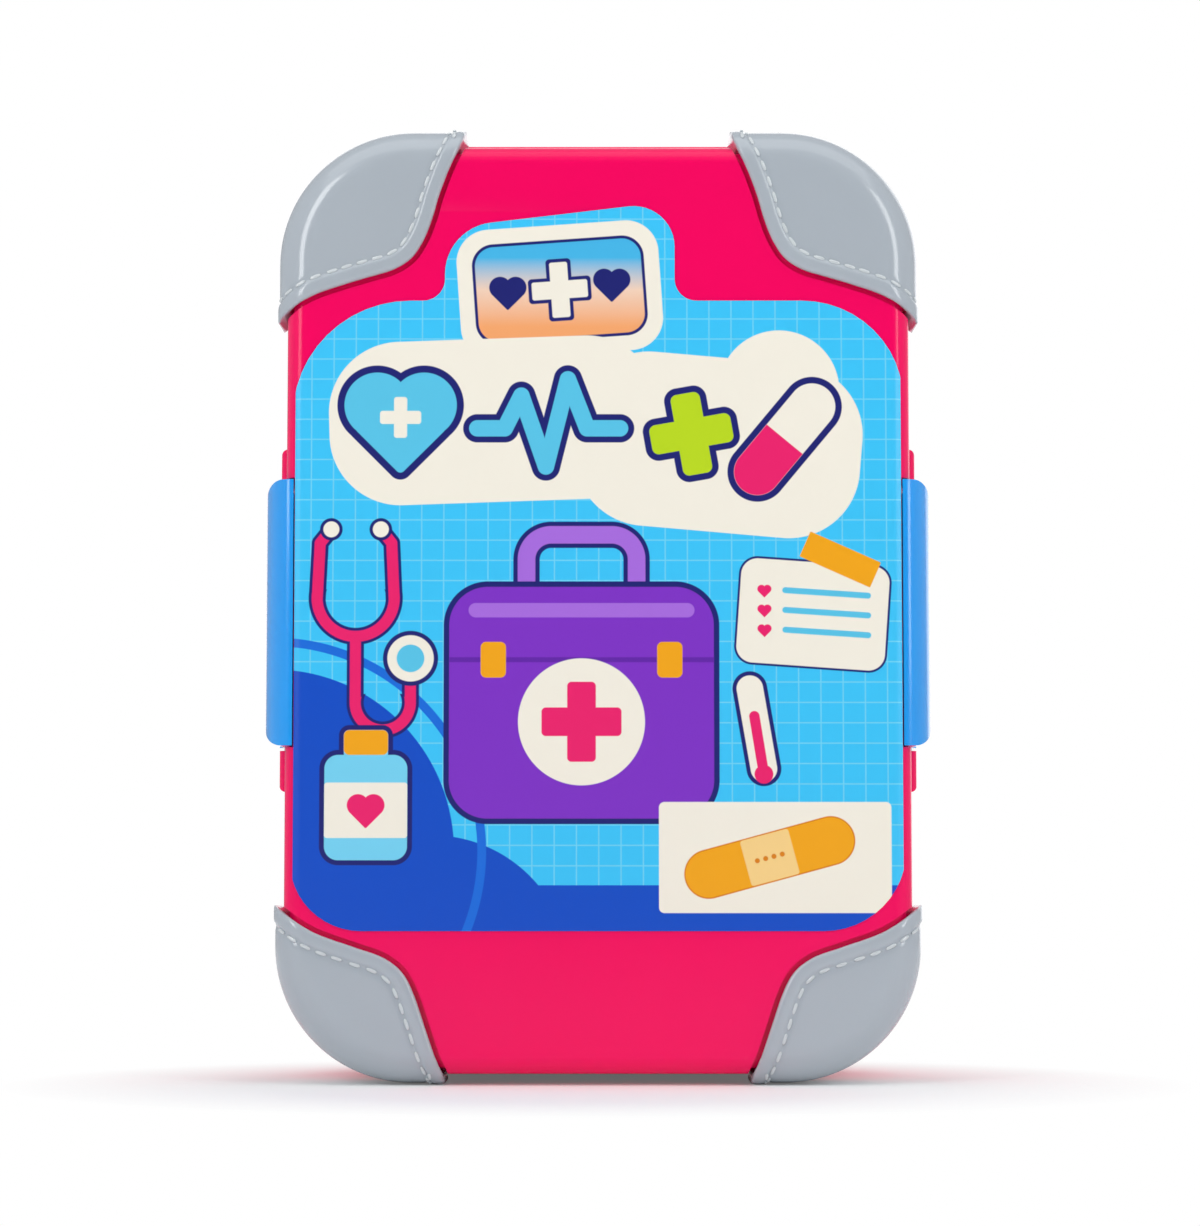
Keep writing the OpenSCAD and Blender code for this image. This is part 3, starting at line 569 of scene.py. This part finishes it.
def plaque(x, z, cx, cz, hx, hz, r, turn=0.0):
    """Distance to a round-cornered rectangle, turned by some degrees."""
    c, s = math.cos(math.radians(turn)), math.sin(math.radians(turn))
    dx, dz = x - cx, z - cz
    u = abs(dx * c + dz * s) - (hx - r)
    v = abs(dz * c - dx * s) - (hz - r)
    far = x.math("SQRT", x.math("POWER", u.most(0.0), 2.0) + x.math("POWER", v.most(0.0), 2.0))
    return far + u.most(v).least(0.0) - r


def stroke(x, z, start, end, r):
    """Distance to a round-ended stroke of a pen."""
    dx, dz = end[0] - start[0], end[1] - start[1]
    u, v = x - start[0], z - start[1]
    t = x.math("MULTIPLY", u * dx + v * dz, 1 / (dx * dx + dz * dz), clamp=True)
    a, b = u - t * dx, v - t * dz
    return x.math("SQRT", a * a + b * b) - r


def pen(x, z, points, r):
    line = None
    for start, end in zip(points, points[1:]):
        part = stroke(x, z, start, end, r)
        line = part if line is None else line.least(part)
    return line


def heart(x, z, cx, cz, s):
    half = s / math.sqrt(2)
    return disc(x, z, cx - half, cz + half, s).least(disc(x, z, cx + half, cz + half, s)).least(
        plaque(x, z, cx, cz, s, s, 0.15 * s, 45))


def plus(x, z, cx, cz, s, arm, r, turn=0.0):
    return plaque(x, z, cx, cz, s, arm, r, turn).least(plaque(x, z, cx, cz, arm, s, r, turn))


def inside(distance, edge=0.16):
    """1 inside a shape and 0 outside, with a soft printed edge."""
    return distance.math("MULTIPLY_ADD", distance, -0.5 / edge, 0.5, clamp=True)


def outlined(ink, shape, line, colour):
    """A shape printed in one colour with a navy outline."""
    return ink.painted(NAVY, inside(shape - line)).painted(colour, inside(shape))


def in_mm(place):
    return (part * 1000.0 for part in place.split())


NAVY, SKY, CREAM = rgb(28, 33, 115), rgb(60, 200, 252), rgb(248, 243, 228)
DEEP, ROSE, LIME, AMBER = rgb(5, 78, 200), rgb(240, 30, 110), rgb(190, 222, 30), rgb(248, 170, 20)
VIOLET, PALE_VIOLET, TURQUOISE = rgb(128, 50, 200), rgb(170, 110, 225), rgb(90, 200, 235)

print_film, shader, place = finish_of("label_print")
x, y, z = in_mm(place)


def every(value, pitch, shift):
    """Distance to the nearest of many lines with one pitch."""
    return abs(value.math("PINGPONG", value + shift, pitch / 2))


lines = every(x, 8.05, 104.4 + 805).least(every(z, 7.38, 738 - 219.2))
ink = inside(lines - 0.22).between(SKY, rgb(118, 216, 250))
# A deep blue wave rises from the lower edge to the left.
wave = disc(x, z, -118, 84, 66).least(plaque(x, z, 0, 40, 140, 32, 10)).least(disc(x, z, -60, 40, 50))
ink = ink.painted(DEEP, inside(wave))
ink = ink.painted(rgb(20, 110, 222), inside(abs(disc(x, z, -118, 84, 76)) - 1.6))
# The tab's framed panel, sky blue to orange, with a plus sign.
ink = ink.painted(CREAM, inside(plaque(x, z, -14, 289, 37, 24, 12, 4)))
ink = ink.painted(NAVY, inside(plaque(x, z, -14, 289, 31.5, 18.5, 8, 4)))
fade = (z - 272) / 34.0
dusk = fade.node("ShaderNodeValToRGB", {"stops": [
    (0.1, rgb(250, 170, 110)), (0.5, rgb(247, 214, 190)), (0.85, rgb(70, 185, 235))]}, {0: fade})
ink = ink.painted(dusk, inside(plaque(x, z, -14, 289, 30.4, 17.4, 7, 4)))
ink = ink.painted(NAVY, inside(plus(x, z, -14, 289, 11.5, 4.6, 1.4, 4)))
ink = ink.painted(CREAM, inside(plus(x, z, -14, 289, 10.2, 3.3, 0.8, 4)))
ink = ink.painted(NAVY, inside(heart(x, z, -33, 287, 4.0).least(heart(x, z, 5, 290, 4.0))))
# The large cream cloud with its bold motifs.
cloud = plaque(x, z, -38, 241, 60, 30, 26, 2).least(plaque(x, z, 44, 232, 52, 32, 26, -5))
cloud = cloud.least(disc(x, z, 66, 252, 22))
ink = ink.painted(CREAM, inside(cloud))
big_heart = heart(x, z, -72, 238, 12)
ink = outlined(ink, big_heart, 2.6, TURQUOISE)
ink = ink.painted(CREAM, inside(plus(x, z, -72, 242, 7.5, 2.4, 1.0)))
pulse = pen(x, z, [(-44, 238), (-34, 238), (-28, 250), (-19, 224), (-11, 256), (-4, 238), (8, 238)], 3.0)
ink = outlined(ink, pulse, 2.2, TURQUOISE)
bold_plus = plus(x, z, 34, 236, 15, 5.4, 2.4, 10)
ink = outlined(ink, bold_plus, 2.4, LIME)
pill = stroke(x, z, (58, 222), (78, 246), 8.5)
ink = outlined(ink, pill, 2.4, CREAM)
ink = ink.painted(ROSE, inside(pill.most((x - 68) * 0.64 + (z - 234) * 0.768)))
# The drawn bag with its cross, and the tools round it.
tube = (abs(disc(x, z, -88, 176, 14)).most(z - 176) - 2.0).least(abs(disc(x, z, -78, 138, 10)).most(z - 138) - 2.0)
for run in ([(-102, 175), (-101, 196), (-97, 201)], [(-74, 175), (-75, 196), (-79, 201)],
            [(-88, 162), (-88, 138)], [(-68, 139), (-68, 150)]):
    tube = tube.least(pen(x, z, run, 2.0))
ink = outlined(ink, tube, 1.1, ROSE)
ink = ink.painted(NAVY, inside(disc(x, z, -97, 201, 4.1).least(disc(x, z, -79, 201, 4.1))))
ink = ink.painted(CREAM, inside(disc(x, z, -97, 201, 2.9).least(disc(x, z, -79, 201, 2.9))))
handle = abs(plaque(x, z, -6, 184, 20, 15, 9)) - 3.2
ink = outlined(ink, handle, 1.6, PALE_VIOLET)
bag = plaque(x, z, -6, 138, 48, 42, 14)
ink = outlined(ink, bag, 2.0, VIOLET)
ink = ink.painted(PALE_VIOLET, inside(plaque(x, z, -6, 171.5, 41, 2.6, 2.6)))
ink = ink.painted(rgb(100, 35, 170), inside(abs(z - 153.5) - 0.9) * inside(bag))
ink = ink.painted(CREAM, inside(disc(x, z, -6, 131, 23)))
ink = ink.painted(ROSE, inside(plus(x, z, -6, 131, 14.5, 5.2, 1.6)))
ink = ink.painted(AMBER, inside(plaque(x, z, -38, 153.5, 4.6, 6.5, 2).least(plaque(x, z, 26, 153.5, 4.6, 6.5, 2))))
ink = ink.painted(NAVY, inside(disc(x, z, -68, 154, 10.0)))
ink = ink.painted(CREAM, inside(disc(x, z, -68, 154, 8.4)))
ink = ink.painted(TURQUOISE, inside(disc(x, z, -68, 154, 5.0)))
stick = stroke(x, z, (60, 114), (55, 143), 4.8)
ink = outlined(ink, stick, 1.5, CREAM)
ink = ink.painted(ROSE, inside(stroke(x, z, (60, 112), (56.6, 133), 1.9).least(disc(x, z, 60, 112, 3.4))))
bottle = plaque(x, z, -84, 100, 15, 19, 5).least(plaque(x, z, -84, 122, 8, 6, 2))
ink = outlined(ink, bottle, 1.8, rgb(120, 214, 245))
ink = ink.painted(CREAM, inside(plaque(x, z, -84, 99, 15, 10, 1)))
ink = ink.painted(ROSE, inside(heart(x, z, -84, 98, 4.0)))
ink = ink.painted(AMBER, inside(plaque(x, z, -84, 123.5, 8, 4.5, 2)))
# The note with its strip of tape, and the plaster across the corner below it.
note = plaque(x, z, 78, 170, 27, 19, 6, -4)
ink = outlined(ink, note, 0.8, CREAM)
for row in range(3):
    ruled = stroke(x, z, (68, 178.8 - row * 7.2), (98, 176.8 - row * 7.2), 1.1)
    ink = ink.painted(TURQUOISE, inside(ruled))
    ink = ink.painted(ROSE, inside(heart(x, z, 60.4, 178.2 - row * 7.2, 1.5)))
ink = ink.painted(AMBER, inside(plaque(x, z, 88, 190, 14, 5, 0.4, -24)))
card = plaque(x, z, 64, 82, 42, 20, 2)
ink = ink.painted(CREAM, inside(card))
strip = stroke(x, z, (40, 76), (84, 88), 8.4)
ink = ink.painted(rgb(222, 130, 10), inside(strip - 0.5))
ink = ink.painted(AMBER, inside(strip))
ink = ink.painted(rgb(252, 214, 140), inside(plaque(x, z, 62, 82, 9, 8.4, 1, 15)))
for k in range(4):
    ink = ink.painted(rgb(222, 130, 10), inside(disc(x, z, 57.5 + 3 * k, 80.8 + 0.8 * k, 0.9)))
feed(shader, "Base Color", ink)
paper = place.noise(14.0, Detail=1.5)
speck = place.noise(420.0, Detail=2.0)
feed(shader, "Roughness", speck * 0.08 + 0.30)
feed(shader, "Normal", (paper + speck * 0.02).bump(0.06, 0.004))
shader.inputs["Coat Weight"].default_value = 0.08
shader.inputs["Coat Roughness"].default_value = 0.15
shader.inputs["Specular IOR Level"].default_value = 0.35
dress(film, print_film, "lid", "front_label")

# ---- Clasp and hinge leaf -----------------------------------------------------------------
# Two like side pieces of clear-toned blue plastic. The left one turns on its pin and holds the
# lid; the right one is screwed to the lid and turns with it on the hinge pin.
CLASP_T, CLASP_OUT, PIN_X, PIN_Y, KNUCKLE_R = 2.2, 122, 116.3, -19.0, 3.2
clasp_blue = moulded("clasp_blue", rgb(26, 162, 250), rough=0.2, coat=0.4, grain=0.02, drift=0.05, depth=0.15)


def cover_line(t, n=20):
    """The quarter oval by which a side piece runs in to the lid, t inside its outer face."""
    cx, cy, rx, ry = CHANNEL_X + 0.3, -46.0, CLASP_OUT - CHANNEL_X - 0.3 - t, 17.8 - t
    return [(cx + rx * math.cos(math.pi / 2 * i / n), cy - ry * math.sin(math.pi / 2 * i / n)) for i in range(n + 1)]


def side_piece(name, side, node, body, posts):
    outer = [(PIN_X, PIN_Y + KNUCKLE_R - 0.6), (PIN_X + KNUCKLE_R, PIN_Y), (CLASP_OUT, PIN_Y - 7)] + cover_line(0)
    inner = ([(CHANNEL_X - 5, PIN_Y - KNUCKLE_R - 1.2), (CLASP_OUT - CLASP_T, PIN_Y - KNUCKLE_R - 1.2)]
             + cover_line(CLASP_T) + [(CHANNEL_X - 5, -61.6)])
    piece = prism(name, outer, CLASP_LOW, CLASP_HIGH, along="Z")
    join_solid(piece, block("ends", CHANNEL_X - 20, CLASP_OUT, CLASP_LOW, CLASP_HIGH, 7, -65, 40), "INTERSECT")
    join_solid(piece, peg("barrel", (PIN_X, PIN_Y, CLASP_LOW + 0.5), (PIN_X, PIN_Y, CLASP_HIGH - 0.5), KNUCKLE_R))
    cut(piece, prism("room", inner, CLASP_LOW + CLASP_T, CLASP_HIGH - CLASP_T, along="Z"))
    cut(piece, block("channel_side", CHANNEL_X - 30, CHANNEL_X + 0.3, CLASP_LOW - 5, CLASP_HIGH + 5, 0, -70, 40))
    cut(piece, peg("bore", (PIN_X, PIN_Y, CLASP_LOW - 2), (PIN_X, PIN_Y, CLASP_HIGH + 2), 1.56))
    if posts:
        for height in (141, 201):
            join_solid(piece, peg("post", (CHANNEL_X + 0.02, -44, height), (121, -44, height), 4))
    else:
        join_solid(piece, block("blade", CHANNEL_X + 1.1, 120.2, 162, 180, 0, -54, -52))
    if side < 0:
        piece.data.transform(Matrix.Diagonal((-1, 1, 1, 1)))
    tidy_faces(piece)
    ease(piece, 0.35)
    dress(piece, clasp_blue, body, node)


side_piece("latch_visual", -1, "latch", "latch", False)
side_piece("hinge_leaf_visual", 1, "hinge_leaf", "lid", True)

# ---- Base shell ---------------------------------------------------------------------------
# The deeper back half, moulded like the lid, with the knuckles for both pins, two wheel wells,
# two standing feet and the pocket that the grip sinks into.


def merge_flats(piece):
    """Puts a piece in hand, in edit mode, and melts the faces of each flat into one."""
    take_up(piece)
    bpy.ops.object.mode_set(mode="EDIT")
    bpy.ops.mesh.select_all(action="SELECT")
    bpy.ops.mesh.dissolve_limited(angle_limit=math.radians(0.5))


def softened(node, body, width, material):
    """A moulding taken from its CAD solid, with its edges broken and its curves shaded smooth."""
    piece = bpy.data.objects.new(f"{node}_visual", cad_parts[node].data.copy())
    scene.collection.objects.link(piece)
    tidy_faces(piece)
    merge_flats(piece)
    bpy.ops.object.mode_set(mode="OBJECT")
    ease(piece, width)
    dress(piece, material, body, node)


softened("base_shell", "base", 0.4, pink_plastic)

# ---- Worktop, mat and tap -----------------------------------------------------------------
# The cream worktop closes the base: a flange that shows as a line between the shells, a deck
# with three low steps, a row of pegs and a sink, held by four screws. The tap turns in it.
cream_plastic = moulded("cream_plastic", rgb(240, 234, 224), rough=0.33, coat=0.15, grain=0.04, drift=0.02)
screw_steel, shader, place = finish_of("screw_steel")
shader.inputs["Base Color"].default_value = (0.62, 0.63, 0.65, 1)
shader.inputs["Metallic"].default_value = 1.0
swirl = place.noise(1500.0, Detail=2.0)
feed(shader, "Roughness", swirl * 0.2 + 0.22)
feed(shader, "Normal", swirl.bump(0.08, 0.0002))


def paint(node, material):
    """Gives a CAD piece, whose shape stays, its finish."""
    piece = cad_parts[node]
    if not piece.material_slots:
        piece.data.materials.append(material)
    for slot in piece.material_slots:
        slot.material = material


softened("worktop", "base", 0.5, cream_plastic)
softened("tap", "tap", 0.3, cream_plastic)
mat_print, shader, place = finish_of("mat_print")
x, y, z = in_mm(place)
grid = every(x, 12.0, 600.0).least(every(z, 12.0, 600.0))
mat = inside(grid - 0.3).between(rgb(236, 246, 252), rgb(190, 226, 244))
mat = mat.painted(DEEP, inside(abs(plaque(x, z, -17, 222, 60, 82, 8)) - 1.2))
for cx, cz, colour in ((-48, 270, ROSE), (-17, 222, TURQUOISE), (16, 174, AMBER), (14, 268, LIME),
                       (-50, 172, VIOLET)):
    mat = mat.painted(colour, inside(plus(x, z, cx, cz, 9, 3.2, 1.0)))
feed(shader, "Base Color", mat)
feed(shader, "Roughness", place.noise(60.0) * 0.1 + 0.3)
softened("worktop_mat", "base", 0, mat_print)
for node in ("worktop_screws", "lid_screws", "leaf_screws", "guide_screws", "hinge_pin", "latch_pin",
             "axle_left", "axle_right", "button_spring"):
    paint(node, screw_steel)

# ---- Console, rail and toy tools ----------------------------------------------------------
# In the lid: a cream console with a printed screen, two dials and moulded cupboard fronts, and
# a rail with pegs that three toy tools hang on.
blue_plastic = moulded("blue_plastic", rgb(40, 170, 245), rough=0.22, coat=0.3)
rose_plastic = moulded("rose_plastic", rgb(250, 70, 160), rough=0.22, coat=0.3)
lime_plastic = moulded("lime_plastic", rgb(190, 222, 40), rough=0.22, coat=0.3)
softened("console", "lid", 0.6, cream_plastic)
softened("tool_rail", "lid", 0.5, cream_plastic)
PEG_X, RAIL_Y = -28.4, -53.4


def rolled(name, outline, a, b, width, steps=5):
    """A flat moulding cut to an outline, with the edges of both faces rolled over."""
    piece = prism(name, outline, a, b)
    merge_flats(piece)
    for face in (a, b):
        round_edges(at_depth(face), width, steps)
    bpy.ops.object.mode_set(mode="OBJECT")
    return piece


def tool_handle(name, height, reach, r_head, r_tail):
    """A toy tool's tapering handle, with the hole it hangs by and a rest for the thumb."""
    lean = math.degrees(math.acos((r_head - r_tail) / reach))
    line = bow(PEG_X + reach, height, r_tail, -lean, lean, 14) + bow(PEG_X, height, r_head, lean, 360 - lean, 26)
    handle = rolled(name, line, RAIL_Y + 0.1, RAIL_Y + 8, 2.2)
    return cut(handle, peg("peg_hole", (PEG_X, -58, height), (PEG_X, -40, height), 2.42),
               rolled("thumb_rest", bow(PEG_X + 13, height, 3.6, 90, 270) + bow(PEG_X + 26, height, 3.0, -90, 90),
                      RAIL_Y + 7.2, RAIL_Y + 10, 0.5))


def bar_line(x0, x1, z, half, r):
    """The outline of a bar with round corners."""
    return bow(x1 - r, z + half - r, r, 90, 0, 6) + bow(x1 - r, z - half + r, r, 0, -90, 6) + bow(
        x0 + r, z - half + r, r, -90, -180, 6) + bow(x0 + r, z + half - r, r, 180, 90, 6)


mirror = tool_handle("toy_mirror_visual", 250, 52, 11, 6)
join_solid(mirror, rolled("stem", bar_line(PEG_X + 49, PEG_X + 71, 250, 2.5, 1.8), RAIL_Y + 2, RAIL_Y + 6, 1.0))
join_solid(mirror, rolled("ring", bow(PEG_X + 80, 250, 12, 0, 352, 44), RAIL_Y + 1.5, RAIL_Y + 6.5, 1.5))
cut(mirror, rolled("glass_seat", bow(PEG_X + 80, 250, 9.6, 0, 352, 44), RAIL_Y + 5.8, RAIL_Y + 9, 0.2))
thermometer = tool_handle("toy_thermometer_visual", 172, 62, 9, 5.5)
join_solid(thermometer, rolled("tip", bar_line(PEG_X + 58, PEG_X + 88, 172, 2.6, 2.5), RAIL_Y + 2, RAIL_Y + 6, 1.5))
otoscope = tool_handle("toy_otoscope_visual", 104, 50, 10, 6)
join_solid(otoscope, rolled("head", bar_line(PEG_X + 48, PEG_X + 66, 104, 8, 4), RAIL_Y + 1, RAIL_Y + 7, 1.8))
join_solid(otoscope, peg("cone", (PEG_X + 57, RAIL_Y + 4, 110), (PEG_X + 57, RAIL_Y + 4, 125), 3.4, 1.6))


def fed_to(shader, socket):
    """What feeds a socket now."""
    return Ink(shader.id_data, shader.inputs[socket].links[0].from_socket)


def with_badge(material, height, reach):
    """A printed badge with a plus sign on a tool's handle."""
    tree = material.node_tree
    shader = tree.nodes["Principled BSDF"]
    base = fed_to(shader, "Base Color")
    where = Ink(tree, next(n for n in tree.nodes if n.type == "TEX_COORD").outputs["Object"])
    x, y, z = in_mm(where)
    front = inside(y * -1.0 + (RAIL_Y + 7.4))
    plate = stroke(x, z, (PEG_X + reach - 4, height), (PEG_X + reach + 5, height), 3.4)
    base = base.painted(NAVY, inside(plate) * front)
    base = base.painted(CREAM, inside(plate + 0.5) * front)
    base = base.painted(ROSE, inside(plus(x, z, PEG_X + reach, height, 2.0, 0.7, 0.2)) * front)
    feed(shader, "Base Color", base)
    return shader, x, y, z


shader, x, y, z = with_badge(blue_plastic, 250, 43)
shine = inside(disc(x, z, PEG_X + 80, 250, 9.6)) * inside(abs(y - (RAIL_Y + 6)) - 0.8) * inside(abs(z - 250) - 14)
feed(shader, "Base Color", fed_to(shader, "Base Color").painted((0.8, 0.82, 0.84, 1), shine))
feed(shader, "Metallic", shine)
feed(shader, "Roughness", fed_to(shader, "Roughness") * (1.0 - shine * 0.8))
with_badge(rose_plastic, 172, 48)
with_badge(lime_plastic, 104, 40)
for piece, node, finish, slot in ((mirror, "toy_mirror", blue_plastic, "blue_plastic"),
                                  (thermometer, "toy_thermometer", rose_plastic, "rose_plastic"),
                                  (otoscope, "toy_otoscope", lime_plastic, "lime_plastic")):
    ease(piece, 0.3)
    dress(piece, finish, "lid", node)
screen_print, shader, place = finish_of("screen_print")
x, y, z = in_mm(place)
grid = every(x, 5.0, 500.0).least(every(z, 5.0, 500.0))
glass = inside(grid - 0.12).between(rgb(14, 54, 160), rgb(34, 90, 200))
trace = [(-76, 113), (-76, 128), (-86, 132), (-66, 138), (-88, 144), (-76, 148), (-76, 156)]
glass = glass.painted(LIME, inside(pen(x, z, trace, 0.8)))
glass = glass.painted(ROSE, inside(heart(x, z, -76, 165, 4.0)))
feed(shader, "Base Color", glass)
feed(shader, "Roughness", place.noise(60.0) * 0.08 + 0.14)
shader.inputs["Coat Weight"].default_value = 0.5
softened("console_screen", "lid", 0, screen_print)
dial_print, shader, place = finish_of("dial_print")
x, y, z = in_mm(place)
DIAL_X = -68.4
dial = inside(disc(x, z, DIAL_X, 224, 8.6)).between(VIOLET, AMBER)
for cz in (224, 202):
    dial = dial.painted(CREAM, inside(abs(disc(x, z, DIAL_X, cz, 6.4)) - 0.4))
    dial = dial.painted(CREAM, inside(stroke(x, z, (DIAL_X, cz), (-65, cz + 4), 0.8)))
feed(shader, "Base Color", dial)
feed(shader, "Roughness", place.noise(60.0) * 0.08 + 0.2)
softened("console_dials", "lid", 0.3, dial_print)

# ---- Handle, wheels and guides ------------------------------------------------------------
# The pull-out handle slides in two tubes inside the base and has a release button in its grip.
# Two wheels with pressed-in blue caps turn on steel axles in the wells.
BAR_X, BAR_Y, GRIP_TOP, GRIP_LOW = 50.0, 44.0, 342.4, 311.4
grip = rolled("handle_grip_visual", bow(51, GRIP_TOP - 13, 13, 90, 0) + bow(60, GRIP_LOW + 4, 4, 0, -90, 5)
              + bow(44, GRIP_LOW + 4, 4, -90, -180, 5) + bow(34, GRIP_TOP - 23, 6, 0, 90, 8)
              + bow(-34, GRIP_TOP - 23, 6, 90, 180, 8) + bow(-44, GRIP_LOW + 4, 4, 0, -90, 5)
              + bow(-60, GRIP_LOW + 4, 4, -90, -180, 5) + bow(-51, GRIP_TOP - 13, 13, 180, 90),
              BAR_Y - 9, BAR_Y + 9, 2.6, 6)
cut(grip, block("button_slot", -15.3, 15.3, GRIP_TOP - 12, GRIP_TOP + 5, 0, BAR_Y - 4.8, BAR_Y + 4.8))
for side in (-1, 1):
    cut(grip, block("bar_socket", side * BAR_X - 5.5, side * BAR_X + 5.5, GRIP_LOW - 2, GRIP_LOW + 18, 0,
                    BAR_Y - 4, BAR_Y + 4))
    # Shallow panels in both faces of each leg, and finger waves under the grip.
    for face in (-1, 1):
        cut(grip, rolled("leg_panel", bar_line(side * 52 - 8, side * 52 + 8, GRIP_LOW + 12, 8, 3),
                         *sorted((BAR_Y + face * 8.5, BAR_Y + face * 12)), 0.4, 3))
WAVE_Z, RIB_Z = GRIP_TOP - 19.4, GRIP_TOP + 1.1
for step in range(-3, 4):
    cut(grip, peg("finger_wave", (step * 10, BAR_Y - 12, WAVE_Z), (step * 10, BAR_Y + 12, WAVE_Z), 3.2, sides=24))
ease(grip, 0.35)
dress(grip, cream_plastic, "handle", "handle_grip")
softened("bar_left", "handle", 0.6, cream_plastic)
softened("bar_right", "handle", 0.6, cream_plastic)
button = rolled("handle_button_visual", bar_line(-15, 15, GRIP_TOP - 2.7, 3.3, 2.2), BAR_Y - 4.5, BAR_Y + 4.5, 0.8, 3)
for step in (-2, -1, 0, 1, 2):
    cut(button, peg("rib", (step * 3.4, BAR_Y - 6, RIB_Z), (step * 3.4, BAR_Y + 6, RIB_Z), 1.0, sides=20))
ease(button, 0.2)
button_blue = moulded("button_blue", rgb(40, 170, 245), rough=0.22, coat=0.3)
dress(button, button_blue, "button", "handle_button")

wheel_grey = moulded("wheel_grey", rgb(128, 134, 141), rough=0.42, coat=0.0, grain=0.06, drift=0.08)
cap_blue = moulded("cap_blue", rgb(34, 162, 246), rough=0.22, coat=0.3)
WHEEL_X, WHEEL_Y, WHEEL_Z = 72.0, 50.0, 16.0


def turned(name, section, centre):
    """A round part spun about its axle from its section, given as across the wheel and outwards."""
    free_hands()
    bpy.ops.mesh.primitive_circle_add(vertices=len(section), radius=0.01)
    piece = bpy.context.object
    piece.name = name
    for vertex, (across, out) in zip(piece.data.vertices, section):
        vertex.co = ((centre[0] + across) * MM, centre[1] * MM, (centre[2] + out) * MM)
    bpy.ops.object.mode_set(mode="EDIT")
    bpy.ops.mesh.select_all(action="SELECT")
    bpy.ops.mesh.spin(steps=96, angle=math.tau, center=Vector(centre) * MM, axis=(1, 0, 0))
    bpy.ops.object.mode_set(mode="OBJECT")
    tidy_faces(piece)
    return piece


half = [(9, 2.08), (9, 6), (8.6, 6.5), (6.1, 7), (6, 12), (8.6, 12.7), (9, 13.2), (9, 14.4), (8.6, 15.2),
        (7.6, 15.8), (6.2, 16), (4.9, 16), (4.6, 15.4), (3.6, 15.4), (3.3, 16)]
section = half + [(-across, out) for across, out in reversed(half)]
cap_section = [(6.0, 7.25), (6.0, 12), (8.3, 11.92), (8.6, 11.7), (8.8, 11.3), (8.8, 8.3), (8.6, 7.85), (8.2, 7.6)]
for side, sx in (("left", -1), ("right", 1)):
    softened(f"guide_{side}", "base", 0.3, wheel_grey)
    centre = (sx * WHEEL_X, WHEEL_Y, WHEEL_Z)
    wheel = turned(f"wheel_{side}_visual", section, centre)
    cap = turned(f"wheel_cap_{side}_visual", [(sx * across, out) for across, out in cap_section], centre)
    for k in range(6):
        turn = math.radians(60 * k)
        y, z = WHEEL_Y + 9.5 * math.cos(turn), WHEEL_Z + 9.5 * math.sin(turn)
        cut(wheel, peg("spoke_gap", (sx * WHEEL_X - 12, y, z), (sx * WHEEL_X + 12, y, z), 1.6, sides=24))
        cut(cap, peg("dimple", (sx * (WHEEL_X + 8.2), y, z), (sx * (WHEEL_X + 12), y, z), 1.3, 1.8, sides=24))
    ease(wheel, 0.15)
    ease(cap, 0.12)
    dress(wheel, wheel_grey, f"wheel_{side}", f"wheel_{side}")
    dress(cap, cap_blue, f"wheel_{side}", f"wheel_cap_{side}")
